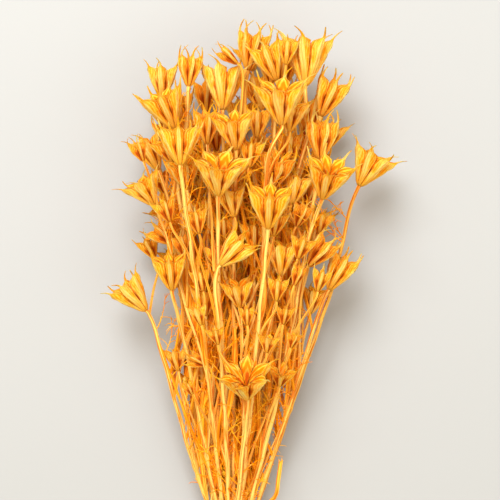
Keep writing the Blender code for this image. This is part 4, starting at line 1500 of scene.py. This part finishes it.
class NIGELLA_OT_grow_stems(bpy.types.Operator):
    """Grow the stalks and seed heads of every stem"""
    bl_idname = "nigella.grow_stems"
    bl_label = "Grow Stems"

    def execute(self, context):
        colours = context.scene.nigella_colours
        feet, routes = bunch_layout()
        model = pod_model()
        shares = pod_shares(model.data)
        profile = stalk_profile(STALK_RIBS)
        skins = (stalk_skin(colours), pod_skin(colours))
        for stem in range(1, STEM_COUNT + 1):
            parts = [stem_stalks(stem, feet, routes, profile, skins[0])]
            members = members_of(stem)
            for index in members:
                parts += head_pods(HEADS[index], feet[index], model, shares, skins[1])
            if stem == STUB_STEM:
                parts.append(broken_branch(routes[members[0]], profile, skins[0]))
            plant = joined(parts, f"nigella_{stem:02d}")
            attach(plant, "root")
            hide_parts(f"stem_{stem:02d}")
        bpy.data.objects.remove(model)
        bpy.data.objects.remove(profile)
        return {"FINISHED"}


class NIGELLA_OT_grow_shoots(bpy.types.Operator):
    """Add the thin side shoots between the stalks"""
    bl_idname = "nigella.grow_shoots"
    bl_label = "Grow Side Shoots"

    def execute(self, context):
        skin = stalk_skin(context.scene.nigella_colours)
        _, routes = bunch_layout()
        draw = random.Random(SHOOT_SEED)
        profile = stalk_profile(SHOOT_RIBS)
        parts = []
        for tint in SHOOT_TINTS:
            curve = ribbed_curve(profile)
            for _ in range(SHOOTS // len(SHOOT_TINTS)):
                add_line(curve, *side_shoot(routes, draw))
            parts.append(ribbed_mesh(curve, skin, tint))
        shoots = joined(parts, "side_shoots")
        bpy.data.objects.remove(profile)
        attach(shoots, "root")
        return {"FINISHED"}


class NIGELLA_OT_grow_small_heads(bpy.types.Operator):
    """Add the small heads between the stems' own heads"""
    bl_idname = "nigella.grow_small_heads"
    bl_label = "Grow Small Heads"

    def execute(self, context):
        colours = context.scene.nigella_colours
        feet, routes = bunch_layout()
        model = pod_model()
        shares = pod_shares(model.data)
        profile = stalk_profile(SHOOT_RIBS)
        draw = random.Random(SMALL_HEAD_SEED)
        skin = pod_skin(colours)
        bark = stalk_skin(colours)
        heads = small_heads()
        placed = list(zip(heads, small_feet(heads, feet, routes)))
        for group in range(SMALL_HEAD_GROUPS):
            curve = ribbed_curve(profile)
            parts = []
            for head, foot in placed[group::SMALL_HEAD_GROUPS]:
                branch = small_branch(head, foot, routes, draw)
                radii = SMALL_BRANCH_RADIUS * np.linspace(1.15, 0.95, len(branch))
                radii[-1] = head.length * COLLAR
                add_line(curve, branch, radii)
                parts += head_pods(head, foot, model, shares, skin)
            parts.insert(0, ribbed_mesh(curve, bark, SMALL_BRANCH_TINT))
            small = joined(parts, f"small_heads_{group + 1}")
            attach(small, "root")
        bpy.data.objects.remove(model)
        bpy.data.objects.remove(profile)
        return {"FINISHED"}


class NIGELLA_OT_grow_leaves(bpy.types.Operator):
    """Add the dry leaves of fine threads, and the broad dry strips"""
    bl_idname = "nigella.grow_leaves"
    bl_label = "Grow Leaves"

    def execute(self, context):
        radius = context.scene.nigella_sizes.thread_radius
        skin = thread_skin(context.scene.nigella_colours)
        _, routes = bunch_layout()
        draw = random.Random(LEAF_SEED)
        leaves = loose_leaves(routes, draw)
        leaves += inner_leaves(routes, INNER_LEAVES, INNER_LEAF_Y, draw)
        leaves += inner_leaves(routes, CROWN_LEAVES, CROWN_LEAF_Y, draw)
        for group in range(LEAF_GROUPS):
            lines = [line for leaf in leaves[group::LEAF_GROUPS] for line in leaf]
            threads = round_mesh(f"dry_leaves_{group + 1}", lines, radius, 0, skin)
            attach(threads, "root")
        strips = dry_strips(routes, stalk_skin(context.scene.nigella_colours), draw)
        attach(strips, "root")
        return {"FINISHED"}


def two_ply(path, reference, ply):
    """Two plies twisted round a path, as lines with their radii."""
    run = run_along(path)
    tangents = np.gradient(path, axis=0)
    tangents /= np.linalg.norm(tangents, axis=1)[:, None]
    sides = np.cross(tangents, reference)
    sides /= np.linalg.norm(sides, axis=1)[:, None]
    ups = np.cross(sides, tangents)
    lines = []
    for strand in (0, math.pi):
        twist = (strand + math.tau * run / PLY_PITCH)[:, None]
        points = path + 0.5 * TWINE_RADIUS * (np.cos(twist) * sides + np.sin(twist) * ups)
        points[:, 2] = np.maximum(points[:, 2], ply)
        lines.append((points, np.ones(len(points))))
    return lines


class NIGELLA_OT_wind_tie(bpy.types.Operator):
    """Wind the twine round the stalks"""
    bl_idname = "nigella.wind_tie"
    bl_label = "Wind Tie"

    def execute(self, context):
        skin = twine_skin(context.scene.nigella_colours)
        ring = tie_inner_radius() + TWINE_RADIUS
        ply = PLY_SHARE * TWINE_RADIUS
        turns = np.linspace(0, TWINE_TURNS, TIE_STEPS * TWINE_TURNS + 1)
        angles = math.tau * turns - math.pi / 2
        winding = np.stack([
            TIE_CENTRE_X + ring * np.cos(angles),
            TIE_Y + (turns - TWINE_TURNS / 2) * 2 * TWINE_RADIUS * TURN_SPACING,
            tie_height() + ring * np.sin(angles)], axis=1)
        across = np.array([0.0, 1.0, 0.0])
        lines = two_ply(winding, across, ply)
        top = np.array([TIE_CENTRE_X, TIE_Y, tie_height() + ring])
        lines += two_ply(top + rounded(np.array(KNOT_LOOP), 6), across, ply)
        for end in KNOT_ENDS:
            lines += two_ply(top + rounded(np.array(end), 6), np.array([0.0, 0.0, 1.0]), ply)
        tie = round_mesh("twine_tie", lines, ply * MM, 1, skin)
        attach(tie, "root")
        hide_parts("tie")
        return {"FINISHED"}


class NIGELLA_OT_set_stage(bpy.types.Operator):
    """Lay the floor and set the lights and the camera"""
    bl_idname = "nigella.set_stage"
    bl_label = "Set Stage"

    def execute(self, context):
        scene = context.scene
        sizes = scene.nigella_sizes
        bpy.ops.object.select_all(action="DESELECT")
        bpy.ops.mesh.primitive_plane_add(size=FLOOR_SIDE, location=(0, 0, 0))
        floor = context.object
        floor.name = "floor"
        floor.data.materials.append(floor_paint(scene.nigella_colours))

        world = bpy.data.worlds.new("soft_room")
        world.use_nodes = True
        sky = world.node_tree.nodes["Background"]
        sky.inputs["Color"].default_value = ROOM_LIGHT
        sky.inputs["Strength"].default_value = sizes.room_light
        scene.world = world
        scene.view_settings.view_transform = "Standard"
        for (name, place, side), power in zip(LAMPS, (sizes.key_power, sizes.fill_power)):
            bpy.ops.object.light_add(type="AREA", location=place)
            lamp = context.object
            lamp.name = name
            lamp.data.energy = power
            lamp.data.size = side
            aim = Vector(LAMP_AIM) - lamp.location
            lamp.rotation_euler = aim.to_track_quat("-Z", "Y").to_euler()

        middle = in_frame([(*VIEW_CENTRE, 0.0)])[0]
        bpy.ops.object.camera_add(location=(middle[0], middle[1], VIEW_PLANE + CAMERA_DISTANCE))
        camera = context.object
        camera.name = "camera"
        camera.rotation_euler = (0, 0, 0)
        camera.data.sensor_width = SENSOR
        camera.data.lens = SENSOR * CAMERA_DISTANCE / PHOTO_SIDE
        scene.camera = camera
        return {"FINISHED"}


class NIGELLA_PT_panel(bpy.types.Panel):
    """Steps that make the bunch, in order"""
    bl_label = "Dried Nigella Bunch"
    bl_idname = "NIGELLA_PT_panel"
    bl_space_type = "VIEW_3D"
    bl_region_type = "UI"
    bl_category = "Nigella"

    def draw(self, context):
        scene = context.scene
        for settings in (scene.nigella_sizes, scene.nigella_colours):
            for name in type(settings).__annotations__:
                self.layout.prop(settings, name)
        for step in STEPS:
            self.layout.operator(step.bl_idname)


STEPS = (
    NIGELLA_OT_grow_stems,
    NIGELLA_OT_grow_shoots,
    NIGELLA_OT_grow_small_heads,
    NIGELLA_OT_grow_leaves,
    NIGELLA_OT_wind_tie,
    NIGELLA_OT_set_stage,
)
CLASSES = (NigellaSizes, NigellaColours, *STEPS, NIGELLA_PT_panel)


def register():
    """Make the settings, the steps and the panel known to Blender."""
    for made in CLASSES:
        bpy.utils.register_class(made)
    bpy.types.Scene.nigella_sizes = bpy.props.PointerProperty(type=NigellaSizes)
    bpy.types.Scene.nigella_colours = bpy.props.PointerProperty(type=NigellaColours)


def unregister():
    """Take back what register did."""
    del bpy.types.Scene.nigella_colours
    del bpy.types.Scene.nigella_sizes
    for made in reversed(CLASSES):
        bpy.utils.unregister_class(made)


def main():
    """Make the bunch and its stage."""
    register()
    bpy.ops.nigella.grow_stems()
    bpy.ops.nigella.grow_shoots()
    bpy.ops.nigella.grow_small_heads()
    bpy.ops.nigella.grow_leaves()
    bpy.ops.nigella.wind_tie()
    bpy.ops.nigella.set_stage()
    bpy.context.view_layer.update()


if __name__ == "__main__":
    main()
